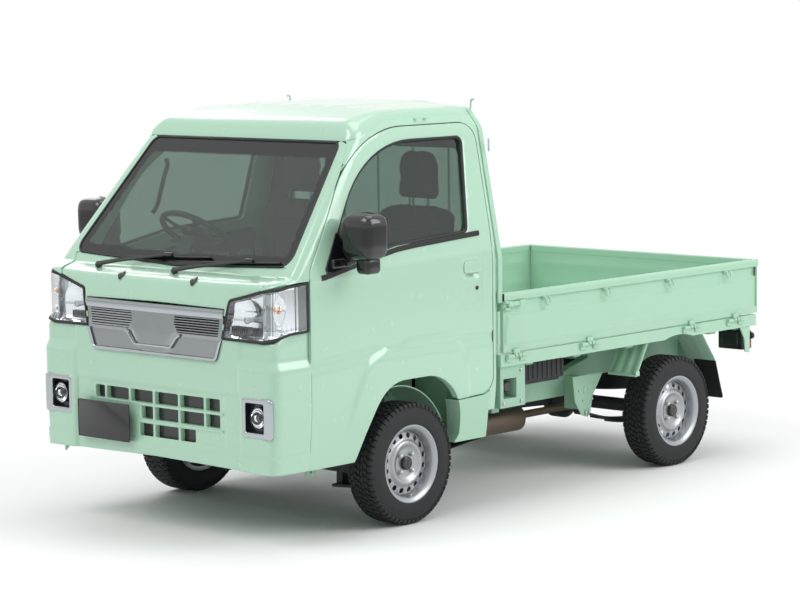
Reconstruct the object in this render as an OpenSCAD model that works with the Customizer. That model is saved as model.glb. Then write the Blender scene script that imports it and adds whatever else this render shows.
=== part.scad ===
// Kei truck: a forward-control micro truck with a drop-side bed.
// Axes: +Y to the rear, +X to the vehicle's left, +Z up. Origin on the ground,
// at the middle of the length and width.

/* [Overall] */
// Overall length, bumper to tailgate
length = 3395; // [2850:1:4100]
// Width of the cab and the bed
width = 1475; // [1230:1:1770]
// Height of the roof above the ground
height = 1800; // [1620:1:2160]
// Distance between the axles
wheelbase = 1900; // [1584:1:2280]
// Distance from the nose to the front axle
front_overhang = 837.5; // [800:0.5:900]

/* [Cab] */
// Distance from the nose to the outside of the cab's rear wall
cab_len = 1412; // [1380:1:1500]
// Thickness of the cab's walls and pillars
wall = 38; // [30:1:46]
// Thickness of the doors
door_t = 44; // [36:1:52]
// Gap between a door and its opening
door_gap = 6; // [5:0.5:8]
// Height of the cab floor in the footwell
floor_z = 470; // [470:1:480]
// Height of the seat platform above the ground
platform_z = 700; // [690:1:730]
// Thickness of the floor panels
floor_t = 18; // [12:1:24]
// Thickness of the window glass
glass_t = 5; // [4:0.5:6]
// Width of one seat
seat_w = 470; // [420:1:490]

/* [Bed] */
// Height of the cargo deck above the ground
deck_z = 660; // [650:1:700]
// Thickness of the deck plate
deck_t = 20; // [12:1:26]
// Height of the gates' top rail above the deck
gate_h = 285; // [240:1:340]
// Thickness of a gate
gate_t = 28; // [22:1:30]
// Gap below and beside each gate
gate_gap = 6; // [5:0.5:8]

/* [Chassis] */
// Distance of a frame rail's middle from the centreline
rail_x = 380; // [360:1:386]
// Width of a frame rail
rail_w = 50; // [40:1:56]
// Depth of a frame rail
rail_h = 105; // [90:1:110]
// Distance of a leaf spring from the centreline
spring_x = 480; // [462:1:496]

/* [Wheels] */
// Radius of the tyre
tyre_r = 264; // [255:1:270]
// Width of the tyre
tyre_w = 145; // [135:1:150]
// Radius of the rim's bead seat
bead_r = 152.5; // [150:0.5:155]
// Distance of a wheel's middle from the centreline
track_x = 652; // [646:1:656]
// Radius of the vent holes in the wheel disc
vent_r = 11; // [8:0.5:13]
// Number of vent holes in the wheel disc
vent_n = 16; // [8:1:18]
// Radius of the wheel spindles
spindle_r = 16; // [12:0.5:18]
// Diameter of the steering wheel
steering_d = 370; // [350:1:380]

/* [Hidden] */
$fn = 48;
green = "#a9d0b8";
black = "#26282a";
steel = "#b9bcc0";
seat = 0.3;                 // clearance between pieces that touch
clear = 6;                  // clearance between pieces that move past each other
far = 3000;                 // longer than anything that is cut

// Driving places
half_w = width / 2;
nose_y = -length / 2;
tail_y = length / 2;
cab_back_y = nose_y + cab_len;
front_axle_y = nose_y + front_overhang;
rear_axle_y = front_axle_y + wheelbase;
rail_in = rail_x - rail_w / 2;
rail_out = rail_x + rail_w / 2;
rail_top_f = floor_z - seat;
rail_top_r = rail_top_f + 75;
side_gate_in = half_w - 2.5 - gate_t;
door_front_y = nose_y + 227;
door_rear_y = cab_back_y - 41;

// ---- 2D helpers: corners are [u, v, radius], listed anticlockwise ----
function unit(p) = p / norm(p);
function left_of(p) = [-p[1], p[0]];
function flat(lists) = [for (l = lists) for (p = l) p];
function at(p, i) = p[(i + len(p)) % len(p)];
function xy(p) = [p[0], p[1]];
function turn(a, b, c) = (b[0] - a[0]) * (c[1] - b[1]) - (b[1] - a[1]) * (c[0] - b[0]);

// The same outline moved inwards by d, with its radii to match
function inset(p, d) = [for (i = [0:len(p) - 1])
    let (a = at(p, i - 1), b = p[i], c = at(p, i + 1),
        n = left_of(unit(xy(b) - xy(a))), m = left_of(unit(xy(c) - xy(b))),
        q = xy(b) + d / (1 + n * m) * (n + m),
        r = b[2] == 0 ? 0 : max(b[2] - sign(turn(a, b, c)) * d, 1))
    [q[0], q[1], r]];

// The points of one rounded corner b between its neighbours a and c
function corner(a, b, c, step = 12) =
    let (u = unit(xy(b) - xy(a)), v = unit(xy(c) - xy(b)), turned = acos(min(1, u * v)),
        s = sign(turn(a, b, c)), start = xy(b) - b[2] * tan(turned / 2) * u,
        mid = start + s * b[2] * left_of(u), n = max(1, ceil(turned / step)))
    b[2] < 0.5 || turned < 0.5 ? [xy(b)] : [for (k = [0:n])
        let (w = s * turned * k / n, e = start - mid)
        mid + [e[0] * cos(w) - e[1] * sin(w), e[0] * sin(w) + e[1] * cos(w)]];

function outline(p) = flat([for (i = [0:len(p) - 1]) corner(at(p, i - 1), p[i], at(p, i + 1))]);

// An outline symmetric about u = 0, from the corners of its right half
function both_halves(p) = concat(p, [for (i = [len(p) - 1:-1:0]) [-p[i][0], p[i][1], p[i][2]]]);

// ---- 3D helpers ----
module along_x(x0, x1) { translate([x0, 0, 0]) rotate([90, 0, 90]) linear_extrude(x1 - x0) children(); }
module along_y(y0, y1) { translate([0, y1, 0]) rotate([90, 0, 0]) linear_extrude(y1 - y0) children(); }
module along_z(z0, z1) { translate([0, 0, z0]) linear_extrude(z1 - z0) children(); }
module block(x0, x1, y0, y1, z0, z1) { translate([x0, y0, z0]) cube([x1 - x0, y1 - y0, z1 - z0]); }
module wide(x, y0, y1, z0, z1) { block(-x, x, y0, y1, z0, z1); }
module rod_x(x0, x1, y, z, r) { translate([x0, y, z]) rotate([0, 90, 0]) cylinder(h = x1 - x0, r = r); }
module rod_y(y0, y1, x, z, r) { translate([x, y1, z]) rotate([90, 0, 0]) cylinder(h = y1 - y0, r = r); }
module pair() { children(); mirror([1, 0, 0]) children(); }

// A round bar of radius r from point a to point b
module bar(a, b, r) {
    d = b - a;
    translate(a) rotate([0, acos(d[2] / norm(d)), atan2(d[1], d[0])]) cylinder(h = norm(d), r = r);
}

// ---- Cab outlines ----
cab_base = 316;
// Side view of the cab on the centreline, from a given base: y, z
function cab_side(base) = [
    [nose_y, base, 25], [cab_back_y, base, 0], [cab_back_y, height + 4, 60],
    [nose_y + 880, height + 2, 300], [nose_y + 625, height - 65, 90], [nose_y + 590, height - 140, 0],
    [nose_y + 137, height - 677, 20], [nose_y + 40, height - 707, 40], [nose_y + 5, 985, 30],
    [nose_y, 860, 0]];

// Front view of the cab: x, z
cab_front = both_halves([
    [half_w - 64, 100, 0], [half_w, 570, 200], [half_w, height - 690, 140],
    [half_w - 111, height - 110, 60], [half_w - 185, height - 26, 60], [260, height, 0]]);

// Plan of the cab's right half from nose to back: x, y, square at the bumper and rounder above it
function cab_plan_half(high) = high
    ? [[0, nose_y, 0], [430, nose_y + 16, 300], [half_w - 18, nose_y + 48, 70], [half_w, nose_y + 212, 120],
        [half_w, cab_back_y + 50, 0]]
    : [[0, nose_y, 0], [300, nose_y + 4, 300], [half_w - 12, nose_y + 14, 58], [half_w, nose_y + 212, 120],
        [half_w, cab_back_y + 50, 0]];
function cab_plan(high) = concat(cab_plan_half(high),
    [for (i = [4:-1:1]) let (p = cab_plan_half(high)[i]) [-p[0], p[1], p[2]]]);

// The solid inside of the cab's skin, moved inwards by d
module cab_body(d = 0, high = true, base = cab_base) {
    intersection() {
        along_x(-far, far) polygon(outline(inset(cab_side(base), d)));
        along_y(nose_y - 10, cab_back_y + 10) polygon(outline(inset(cab_front, d)));
        along_z(-10, height + 100) polygon(outline(inset(cab_plan(high), d)));
    }
}

// The cab's wall between two depths below its skin, open underneath
module cab_skin(d0 = 0, d1 = wall, high = true) {
    difference() {
        cab_body(d0, high, cab_base - d0);
        cab_body(d1, high, cab_base - 200);
    }
}

// ---- Openings in the cab, in side view (y, z) or front view (x, z) ----
bumper_top_z = 861;
bumper_front = both_halves([[half_w + 20, 200, 0], [half_w + 20, 903, 0], [660, bumper_top_z, 60]]);
roof_split_z = height - 142;
// Door hinge line near the skin, just behind the door's front edge, and the hinges' heights
hinge_x = half_w - 4;
hinge_y = door_front_y + 14;
hinge_zs = [640, 1121];
door_side = [
    [door_front_y, 314, 8], [door_rear_y - 250, 314, 0], [door_rear_y - 250, 510, 0],
    [door_rear_y, 516, 75], [door_rear_y, height - 97, 88], [door_front_y + 390, height - 97, 560],
    [door_front_y, height - 659, 90]];
arch_side = [
    [front_axle_y - 378, 280, 0], [front_axle_y + 270, 280, 0], [front_axle_y + 324, 352, 24],
    [front_axle_y + 324, 636, 232], [front_axle_y - 176, 636, 205]];
window_side = [
    [door_front_y + 80, height - 679, 14], [door_front_y + 536, height - 593, 200],
    [door_rear_y - 143, height - 568, 26], [door_rear_y - 85, height - 150, 34],
    [door_front_y + 424, height - 150, 540]];
windscreen_front = both_halves([[0.01, height - 664, 0], [half_w - 72, height - 638, 45],
    [half_w - 165, height - 150, 40]]);
rear_window_front = both_halves([[half_w - 190, 1205, 50], [half_w - 215, height - 205, 50]]);
grille_front = both_halves([[380, 768, 20], [411, 850, 10], [428, 984, 8]]);
lamp_front = [[414, bumper_top_z, 10], [660, bumper_top_z, 60], [half_w + 5, 893, 0],
    [half_w + 5, 1102, 0], [449, 1026, 12]];
panel_front = both_halves([[460, bumper_top_z, 0], [612, 1069, 0], [650, height - 640, 0]]);
intake_half_x = 432;
intake_z = [392, 630];
fog_front = [[532, 468, 12], [704, 468, 12], [704, 632, 12], [532, 632, 12]];
plate = [330, 165];
plate_x = -468;
plate_z = 378;
plate_pocket = 14;

module side_cut(p, grow = 0) { along_x(-far, far) polygon(outline(inset(p, -grow))); }
module front_cut(p, grow = 0, y1 = nose_y + 640) {
    along_y(nose_y - 20, y1) polygon(outline(inset(p, -grow)));
}
module ahead_of_doors(grow = 0) { wide(far, nose_y - 20, door_front_y - door_gap + grow, 0, height + 100); }

// ---- Running gear ----
// One wheel's pieces are drawn about the origin with +X outwards
disc_r = 88;
module wheel_at(side, y) {
    translate([0, y, tyre_r]) mirror([side < 0 ? 1 : 0, 0, 0]) translate([track_x, 0, 0]) children();
}
module turned() { rotate([0, 90, 0]) rotate_extrude() children(); }

module tyre() {
    h = tyre_w / 2;
    s = bead_r + 19.2;
    color(black) turned() polygon([
        [bead_r + 0.7, -61.4], [s, -61.4], [s + 2, -h + 6], [tyre_r - 48, -h], [tyre_r - 14, -h + 5],
        [tyre_r - 3, -h + 16], [tyre_r, -h + 26], [tyre_r, h - 26], [tyre_r - 3, h - 16],
        [tyre_r - 14, h - 5], [tyre_r - 48, h], [s + 2, h - 6], [s, 61.4], [bead_r + 0.7, 61.4]]);
}

module rim(brake_r) {
    color(steel) difference() {
        union() {
            turned() polygon([[bead_r - 9, -68], [bead_r + 18, -68], [bead_r + 18, -61.7],
                [bead_r, -61.7], [bead_r, 61.7], [bead_r + 18, 61.7], [bead_r + 18, 68],
                [bead_r - 6, 68], [bead_r - 9, 56]]);
            turned() polygon([[0, 14], [45, 14], [92, 14], [99, 20], [bead_r - 20, 26], [bead_r - 6, 12],
                [bead_r - 6, 20], [bead_r - 18, 34], [99, 30], [90, 24], [45, 24], [40, 50], [0, 50]]);
            rod_x(-30, 20, 0, 0, 46);
            rod_x(-30, -19, 0, 0, brake_r);
        }
        rod_x(-40, 40, 0, 0, spindle_r + 0.5);
        for (i = [0:vent_n - 1]) rotate([360 / vent_n * (i + 0.5), 0, 0])
            rod_x(15, 45, 0, (bead_r + 90) / 2, vent_r);
    }
}

// The steering axis leans in at the top by kpi
kpi = 12;
ball_z = 148;
ball_x = track_x - 33;
function pin_x(z) = ball_x - (z - ball_z) * tan(kpi);
strut_top_z = 604;
rack_y = front_axle_y - 130;
rack_z = 256;
arm_z = 214;
arm_x = track_x - 107;
module knuckle() {
    color("#4a4d50") {
        translate([0, front_axle_y, 0]) {
            block(track_x - 96, track_x - 58, -42, 42, 174, 345);
            block(track_x - 96, track_x - 20, -18, 18, 162, 174);
            rod_x(track_x - 60, track_x + 34, 0, tyre_r, spindle_r);
            translate([ball_x, 0, ball_z + 6.3]) cylinder(h = 9, r = 5);
            bar([track_x - 104, 0, 290], [pin_x(540), 0, 540], 21);
            bar([pin_x(535), 0, 535], [pin_x(strut_top_z - 10), 0, strut_top_z - 10], 40);
            along_z(arm_z - 9, arm_z + 9) polygon([[track_x - 94, -40], [track_x - 62, -40],
                [arm_x + 13, rack_y - front_axle_y], [arm_x - 13, rack_y - front_axle_y]]);
        }
    }
}

module rail_profile() {
    b = rail_top_f - rail_h;
    y1 = rear_axle_y - 480;
    y2 = rear_axle_y - 180;
    polygon([[nose_y + 95, b], [y1, b], [y2, rail_top_r - rail_h], [tail_y - 50, rail_top_r - rail_h],
        [tail_y - 50, rail_top_r], [y2 - 40, rail_top_r], [y1 - 40, rail_top_f], [nose_y + 95, rail_top_f]]);
}

hanger_y = rear_axle_y - 450;
shackle_y = rear_axle_y + 450;
spring_eye_z = 290;
spring_mid_z = 212;
spring_rad = (pow(450, 2) + pow(spring_eye_z - spring_mid_z, 2)) / (2 * (spring_eye_z - spring_mid_z));
bracket_y = [cab_back_y + 150, (cab_back_y + rear_axle_y) / 2, rear_axle_y - 260];

// Two rails that rise over the rear axle, with pads for the bed's runners
module frame_rails() {
    color(green) pair() {
        along_x(rail_in, rail_out) rail_profile();
        for (y = bracket_y) block(rail_in, rail_out, y - 30, y + 30, rail_top_f - 60, rail_top_r);
    }
}

module plate_holes() {
    for (x = [-105, 105]) rod_y(tail_y - 60, tail_y - 40, x, 505, 3.5);
}

module frame_crossmembers() {
    x = rail_in - seat;
    color(green) {
        for (y = [nose_y + 110, cab_back_y + 60, hanger_y - 80])
            wide(x, y - 25, y + 25, rail_top_f - rail_h + 15, rail_top_f - 20);
        wide(x, rear_axle_y + 83, rear_axle_y + 127, rail_top_r - rail_h + 10, rail_top_r - 10);
        difference() {
            wide(x, tail_y - 94, tail_y - 50, rail_top_r - rail_h + 10, rail_top_r - 10);
            plate_holes();
        }
    }
}

module frame_brackets() {
    x = rail_out + seat;
    color(green) {
        pair() {
            // spring hangers beside the rails
            block(x, spring_x + 30, hanger_y - 22, hanger_y + 22, spring_eye_z + 16, rail_top_f - 10);
            block(x, spring_x + 30, shackle_y - 22, shackle_y + 22, spring_eye_z + 16, rail_top_r - 10);
            // front tow eye under the bumper's corner
            difference() {
                block(rail_out + 170, rail_out + 182, nose_y + 330, nose_y + 385, 262, 335);
                rod_x(rail_out + 160, rail_out + 190, nose_y + 355, 285, 10);
            }
            block(x, rail_out + 182, nose_y + 330, nose_y + 385, 335, 395);
        }
        // bracket behind the cab's left corner
        block(x, half_w - 90, cab_back_y + 40, cab_back_y + 90, 400, 440);
        difference() {
            block(half_w - 100, half_w - 20, cab_back_y + 20, cab_back_y + 190, 430, deck_z - 43 - seat);
            block(half_w - 92, half_w, cab_back_y + 40, cab_back_y + 130, 470, 560);
        }
        // rear number plate bracket with its two bolt holes
        difference() {
            wide(130, tail_y - 50 + seat, tail_y - 44, 460, rail_top_r - 10);
            plate_holes();
        }
    }
}

module engine() {
    color("#6b6f72") {
        wide(235, front_axle_y + 45, cab_back_y - 200, 300, 660);
        wide(115, cab_back_y - 201, cab_back_y + 29.9, 290, 360);
        wide(115, cab_back_y - 201, cab_back_y - 196, 290, 450);
        // mounts between the block and the rails
        pair() for (y = [front_axle_y + 150, cab_back_y - 260])
            block(235 + seat, rail_in - seat, y - 25, y + 25, 395, 430);
    }
}

tank_x = [75, rail_in - 15];
module fuel_tank() {
    color(black) {
        block(tank_x[0], tank_x[1], cab_back_y + 180, cab_back_y + 620, 335, 500);
        for (y = [cab_back_y + 240, cab_back_y + 560])
            block(tank_x[1] - 10, rail_in - seat, y - 15, y + 15, 470, 500);
    }
}

pipe_x = 200;
module exhaust() {
    color("#8a7f76") {
        rod_y(cab_back_y + 330, cab_back_y + 740, pipe_x, 255, 62);
        rod_y(cab_back_y + 730, rear_axle_y - 160, pipe_x, 262, 18);
        bar([pipe_x, cab_back_y + 340, 262], [pipe_x, cab_back_y - 197.5, 330], 20);
        for (y = [cab_back_y + 400, cab_back_y + 680])
            block(pipe_x - 8, pipe_x + 8, y - 8, y + 8, 300, 335 - seat);
    }
}

prop_z = 325;
pinion_len = 112;
module propeller_shaft() {
    color("#55585b")
        bar([0, cab_back_y + 31.5, prop_z], [0, rear_axle_y - pinion_len - 1.9, tyre_r + 3], 27);
}

module rear_axle() {
    color("#3c3f42") {
        rod_x(-track_x + 52, track_x - 52, rear_axle_y, tyre_r, 32);
        rod_x(-track_x - 34, track_x + 34, rear_axle_y, tyre_r, spindle_r);
        // differential housing and its pinion nose
        translate([0, rear_axle_y, tyre_r]) turned()
            polygon([[0, -75], [55, -75], [96, -34], [96, 34], [55, 75], [0, 75]]);
        rod_y(rear_axle_y - pinion_len, rear_axle_y, 0, tyre_r, 34);
        pair() {
            rod_x(track_x - 52, track_x - 40, rear_axle_y, tyre_r, 86);
            block(spring_x - 26, spring_x + 26, rear_axle_y - 30, rear_axle_y + 30,
                spring_mid_z + 10.8, tyre_r);
        }
    }
}

// Leaves are bent to one radius, each shorter than the one above
module rear_springs() {
    leaf = 8;
    color(black) pair() {
        for (i = [0:2]) along_x(spring_x - 25, spring_x + 25) intersection() {
            translate([rear_axle_y, spring_mid_z + 10 + spring_rad]) difference() {
                circle(r = spring_rad + (i + 1) * leaf, $fn = 720);
                circle(r = spring_rad + i * leaf, $fn = 720);
            }
            translate([rear_axle_y - 450 + i * 110, spring_mid_z - 40]) square([900 - i * 220, 200]);
        }
        for (y = [hanger_y, shackle_y])
            rod_x(spring_x - 25, spring_x + 25, y, spring_eye_z + 2, 14 - seat);
        bar([spring_x + 60, rear_axle_y - 52, 236], [spring_x + 60, rear_axle_y - 150, 520], 17);
        block(spring_x, spring_x + 70, rear_axle_y - 62, rear_axle_y - 30 - seat, 226, 246);
    }
}

module front_suspension() {
    beam_z = [196, 272];
    color("#3c3f42") {
        difference() {
            union() {
                wide(rail_out - 5, front_axle_y - 55, front_axle_y + 40, beam_z[0], beam_z[1]);
                wide(250, rack_y - 28, rack_y + 28, rack_z - 28, rack_z + 28);
                pair() block(150, 200, rack_y, front_axle_y, beam_z[0] + 10, rack_z + 20);
            }
            rod_x(-far, far, rack_y, rack_z, 12);
        }
        pair() {
            block(rail_in, rail_out - 5, front_axle_y - 55, front_axle_y + 40,
                beam_z[1] + seat, rail_top_f - rail_h - seat);
            along_z(134, 146) polygon([[330, front_axle_y - 90], [330, front_axle_y + 90],
                [ball_x - 60, front_axle_y + 15], [ball_x + 13, front_axle_y + 15],
                [ball_x + 13, front_axle_y - 15], [ball_x - 60, front_axle_y - 15]]);
            block(310, 345, front_axle_y - 40, front_axle_y + 40, 134, beam_z[0]);
            translate([ball_x, front_axle_y, ball_z - 5]) cylinder(h = 10.5, r = 12);
            translate([pin_x(strut_top_z), front_axle_y, strut_top_z + 4])
                cylinder(h = platform_z - floor_t - seat - strut_top_z - 4, r = 42);
        }
    }
}

module spare_wheel() {
    c = [0, rear_axle_y + 385, 365];
    color(black) translate(c) rotate([0, -90, 0]) tyre();
    color(steel) translate(c) rotate([0, -90, 0]) turned()
        polygon([[0, 14], [99, 14], [bead_r, 26], [bead_r, 61.7],
            [bead_r - 9, 61.7], [bead_r - 9, 34], [99, 26], [0, 26]]);
    color("#4a4d50") translate(c) along_z(14, rail_top_r - 20 - c[2]) square([30, 30], center = true);
    color("#4a4d50") wide(rail_in - seat, c[1] - 15, c[1] + 15, rail_top_r - 45, rail_top_r - 20);
}

// ---- Cab body ----
liner_r = 325;
riser_y = front_axle_y - 342;
inner_x = half_w - door_t - clear - 16;
module firewall() {
    color(green) intersection() {
        wide(inner_x, nose_y + 195, nose_y + 195 + floor_t, floor_z, 1060);
        cab_body(wall + 20);
    }
}

module cab_floor() {
    color(green) intersection() {
        wide(inner_x, nose_y + 195 + floor_t + seat, riser_y - floor_t - seat, floor_z, floor_z + floor_t);
        cab_body(door_t + clear);
    }
}

// A riser behind the feet, the platform over the engine, and a box under each seat
module seat_platform() {
    under = platform_z - floor_t;
    color(green) {
        wide(inner_x, riser_y - floor_t, riser_y, floor_z, under - seat);
        wide(inner_x, riser_y - floor_t, cab_back_y - wall - seat, under, platform_z);
        pair() block(120, 600, front_axle_y + 15, cab_back_y - 150, platform_z + seat, platform_z + 90);
    }
}

// Over each front wheel: a curved liner, open where the strut passes, and its inner wall
module wheel_houses() {
    color(green) pair() difference() {
        union() {
            along_x(422, inner_x - 40) intersection() {
                translate([front_axle_y, tyre_r]) difference() {
                    circle(r = liner_r + 6, $fn = 96);
                    circle(r = liner_r, $fn = 96);
                }
                translate([front_axle_y - 400, 330]) square([800, 400]);
            }
            block(419, 425, riser_y + seat, front_axle_y + liner_r + 6, 330, platform_z - floor_t - seat);
        }
        translate([pin_x(strut_top_z), front_axle_y, 560]) cylinder(h = 100, r = 52);
    }
}

// Sills behind the front wheels, under the doors, and the struts that carry them
module cab_sills() {
    color(green) pair() {
        difference() {
            intersection() {
                cab_skin(0, 80);
                along_x(half_w - 100, far) polygon([[front_axle_y + 262, 292], [door_rear_y - 60, 303],
                    [door_rear_y - 25, 316], [door_rear_y - 25, 600], [front_axle_y + 262, 600]]);
            }
            side_cut(door_side, door_gap);
            side_cut(arch_side);
        }
        block(419, half_w - 100 - seat, front_axle_y + 360, front_axle_y + 420,
            340, platform_z - floor_t - seat);
    }
}

// The front bumper spans the whole face below the lamps
module front_bumper() {
    cells = 6;
    rows = 3;
    bar_w = 12;
    cell = [2 * intake_half_x / cells, (intake_z[1] - intake_z[0]) / rows];
    color(green) difference() {
        intersection() {
            cab_skin(0, wall, false);
            front_cut(bumper_front);
            ahead_of_doors();
        }
        front_cut(grille_front, seat);
        pair() front_cut(fog_front, seat);
        block(plate_x - 2, plate_x + plate[0] + 2, nose_y - 10, nose_y + plate_pocket,
            plate_z - 2, plate_z + plate[1] + 2);
        for (i = [0:cells - 1], k = [0:rows - 1])
            translate([-intake_half_x + i * cell[0], nose_y - 20, intake_z[0] + k * cell[1]])
                translate([bar_w / 2, 0, bar_w / 2]) cube([cell[0] - bar_w, 120, cell[1] - bar_w]);
    }
    color(green) pair() door_hinge(hinge_zs[0]);
    // mounting arms back to the frame's nose
    color(green) pair()
        block(rail_in, rail_out, nose_y + wall - 0.1, nose_y + 95 - seat, rail_top_f - 80, rail_top_f - 20);
}

module front_panel() {
    color(green) difference() {
        intersection() {
            cab_skin();
            front_cut(panel_front);
            wide(far, nose_y - 10, door_front_y - door_gap, bumper_top_z + seat, height - 600);
        }
        front_cut(grille_front, seat);
        pair() front_cut(lamp_front, seat);
        front_cut(windscreen_front, seat);
    }
}

module grille() {
    color("silver") intersection() {
        union() {
            cab_skin(1, 28, false);
            wide(200, nose_y + 20, nose_y + 60, 780, 960);
        }
        front_cut(inset(grille_front, seat), 0, nose_y + 70);
        cab_body(0.5);
    }
}

module headlamps() {
    color("#dfe6ea") pair() intersection() {
        cab_skin(1, 55);
        front_cut(inset(lamp_front, seat));
        difference() {
            ahead_of_doors();
            front_cut(bumper_front, seat);
        }
    }
}

module fog_lamps() {
    color("#c9cdd0") pair() difference() {
        intersection() {
            cab_skin(0.5, 55, false);
            front_cut(inset(fog_front, 2 * seat));
            ahead_of_doors();
        }
        front_cut(inset(fog_front, 20), 0, nose_y + 26);
        wide(far, nose_y + 110, cab_back_y, 0, height);
    }
}

// A blank plate beside the centre, on two pads in a pocket of the bumper
module number_plate() {
    color(black) {
        block(plate_x, plate_x + plate[0], nose_y, nose_y + 3, plate_z, plate_z + plate[1]);
        for (x = [plate_x + 30, plate_x + plate[0] - 30])
            block(x - 8, x + 8, nose_y + 3, nose_y + plate_pocket - seat, plate_z + 6, plate_z + 20);
    }
}

// A door hinge: an arm from the body's edge into the door, and its pin
module door_hinge(z) {
    block(hinge_x - 3.2, hinge_x + 3.2, door_front_y - door_gap - 6, hinge_y, z - 14, z + 14);
    translate([hinge_x, hinge_y, z - 24]) cylinder(h = 48, r = 3.2);
}

module windscreen_pillars() {
    color(green) pair() {
        difference() {
            intersection() {
                cab_skin();
                block(0, far, nose_y, door_front_y + 500, bumper_top_z, roof_split_z - seat);
            }
            front_cut(bumper_front, seat);
            side_cut(door_side, door_gap);
            front_cut(windscreen_front, seat);
            front_cut(panel_front, seat);
            front_cut(lamp_front, seat);
            front_cut(grille_front, seat);
            wide(far, door_front_y + 480, cab_back_y, 0, height);
        }
        door_hinge(hinge_zs[1]);
    }
}

module cab_roof() {
    color(green) difference() {
        intersection() {
            cab_skin();
            wide(far, nose_y, cab_back_y, roof_split_z, height + 10);
        }
        side_cut(door_side, door_gap);
        front_cut(windscreen_front, seat);
    }
}

module cab_rear_wall() {
    color(green) difference() {
        intersection() {
            cab_skin();
            wide(far, door_rear_y - 24, cab_back_y, 436, roof_split_z - seat);
        }
        side_cut(door_side, door_gap);
        along_y(cab_back_y - 300, far) polygon(outline(rear_window_front));
        wide(half_w - 100, cab_back_y - 300, cab_back_y + 10, 0, floor_z);
        wide(far, door_rear_y - 400, door_rear_y - 25 + seat, 0, 600);
    }
}

module cab_glass() {
    color("#9fb3ac", 0.4) {
        intersection() {
            cab_skin(5, 5 + glass_t);
            front_cut(inset(windscreen_front, seat));
        }
        intersection() {
            wide(far, cab_back_y - 20, cab_back_y - 20 + glass_t, 0, height);
            along_y(cab_back_y - 300, far) polygon(outline(inset(rear_window_front, seat)));
        }
    }
}

// Each wiper: a blade just above the glass, an arm, and a pivot post on the panel below
glass_foot = [nose_y + 137, height - 677];
glass_slope = atan2(height - 140 - glass_foot[1], nose_y + 590 - glass_foot[0]);
hood_slope = atan2(30, 97);
module on_slope(slope, up, out) {
    translate([0, glass_foot[0], glass_foot[1]]) rotate([slope, 0, 0]) translate([0, up, out]) children();
}
module wipers() {
    // place of the post, start of the blade, length of the blade
    color(black) for (p = [[-422, -420, 470], [48, 30, 560]]) {
        on_slope(glass_slope, 60, -4) translate([p[1], 0, 0]) cube([p[2], 8, 14]);
        on_slope(glass_slope, -13, 9.5) translate([p[0] - 8, 0, 0]) cube([16, 81, 8]);
        on_slope(hood_slope, -18, 0.5) translate([p[0], 0, 0]) cylinder(h = 20, r = 9);
    }
}

module dashboard() {
    color(black) difference() {
        dashboard_body();
        steering_frame() translate([0, 0, -500]) cylinder(h = 500, r = column_r + seat);
    }
}
module dashboard_body() {
    intersection() {
        along_x(-(half_w - door_t - 2 * clear), half_w - door_t - 2 * clear) polygon([
            [nose_y + 195 + floor_t + seat, 880], [nose_y + 330, 880], [nose_y + 430, 960],
            [nose_y + 440, 1070], [nose_y + 400, 1106], [nose_y + 195 + floor_t + seat, 1106]]);
        cab_body(door_t + 8);
        cab_body(wall + 20);
    }
}

// Steering wheel and column share one raked axis through the wheel's hub
wheel_c = [-355, nose_y + 620, 1212];
rake = 52;
column_r = 30;
module steering_frame() { translate(wheel_c) rotate([-(90 - rake), 0, 0]) children(); }

module steering_column() {
    color(black) steering_frame() {
        difference() {
            translate([0, 0, -62]) cylinder(h = 40, r = 42);
            translate([0, 0, -63]) cylinder(h = 60, r = 12);
        }
        translate([0, 0, -420]) cylinder(h = 360, r = column_r);
        translate([0, 0, -60]) cylinder(h = 62, r = 9);
        // the two stalks
        for (s = [-1, 1]) translate([s * 42, 0, -42]) rotate([0, s * 90, 0])
            translate([0, 0, -2]) cylinder(h = 100, r = 6);
    }
}

module steering_wheel() {
    r = steering_d / 2;
    color(black) steering_frame() difference() {
        union() {
            rotate_extrude($fn = 72) translate([r - 14, 0]) circle(r = 14, $fn = 24);
            translate([0, 0, -16]) cylinder(h = 34, r = 60);
            for (a = [0, 90, 180]) rotate([0, 0, a + 180]) translate([50, -20, -8]) cube([r - 60, 40, 14]);
            translate([0, 0, -18]) cylinder(h = 10, r = 30);
        }
        translate([0, 0, -19]) cylinder(h = 24, r = 9.5);
    }
}

module seats() {
    w = seat_w / 2;
    c = 360;
    y0 = cab_back_y - 150;
    z0 = platform_z + 90 + seat;
    color("#3a3c3e") pair() {
        block(c - w, c + w, front_axle_y - 15, y0 + 20, z0, z0 + 120);
        block(c - w + 10, c + w - 10, y0 - 40, y0 + 60, z0 + 100, z0 + 560);
        block(c - 110, c + 110, y0 + 5, y0 + 75, z0 + 540, z0 + 780);
    }
}

// ---- Doors ----
module door() {
    color(green) difference() {
        intersection() {
            cab_skin(0, door_t);
            side_cut(door_side);
            block(half_w - 175, far, nose_y, cab_back_y, 0, height);
        }
        side_cut(arch_side);
        side_cut(window_side);
        // slots for the hinge arms, and the pins' bores
        for (z = hinge_zs) {
            block(hinge_x - 9, far, door_front_y - 10, hinge_y + 9, z - 20, z + 20);
            translate([hinge_x, hinge_y, z - 26]) cylinder(h = 52, r = 3.4);
        }
        // rebate round the inner edge, so the door swings clear of its opening
        difference() {
            cab_body(door_t / 2);
            side_cut(inset(door_side, 14));
        }
    }
}

module door_glass() {
    color("#9fb3ac", 0.4) intersection() {
        cab_skin(18, 18 + glass_t);
        side_cut(inset(window_side, seat));
        block(0, far, nose_y, cab_back_y, 0, height);
    }
}

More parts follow.
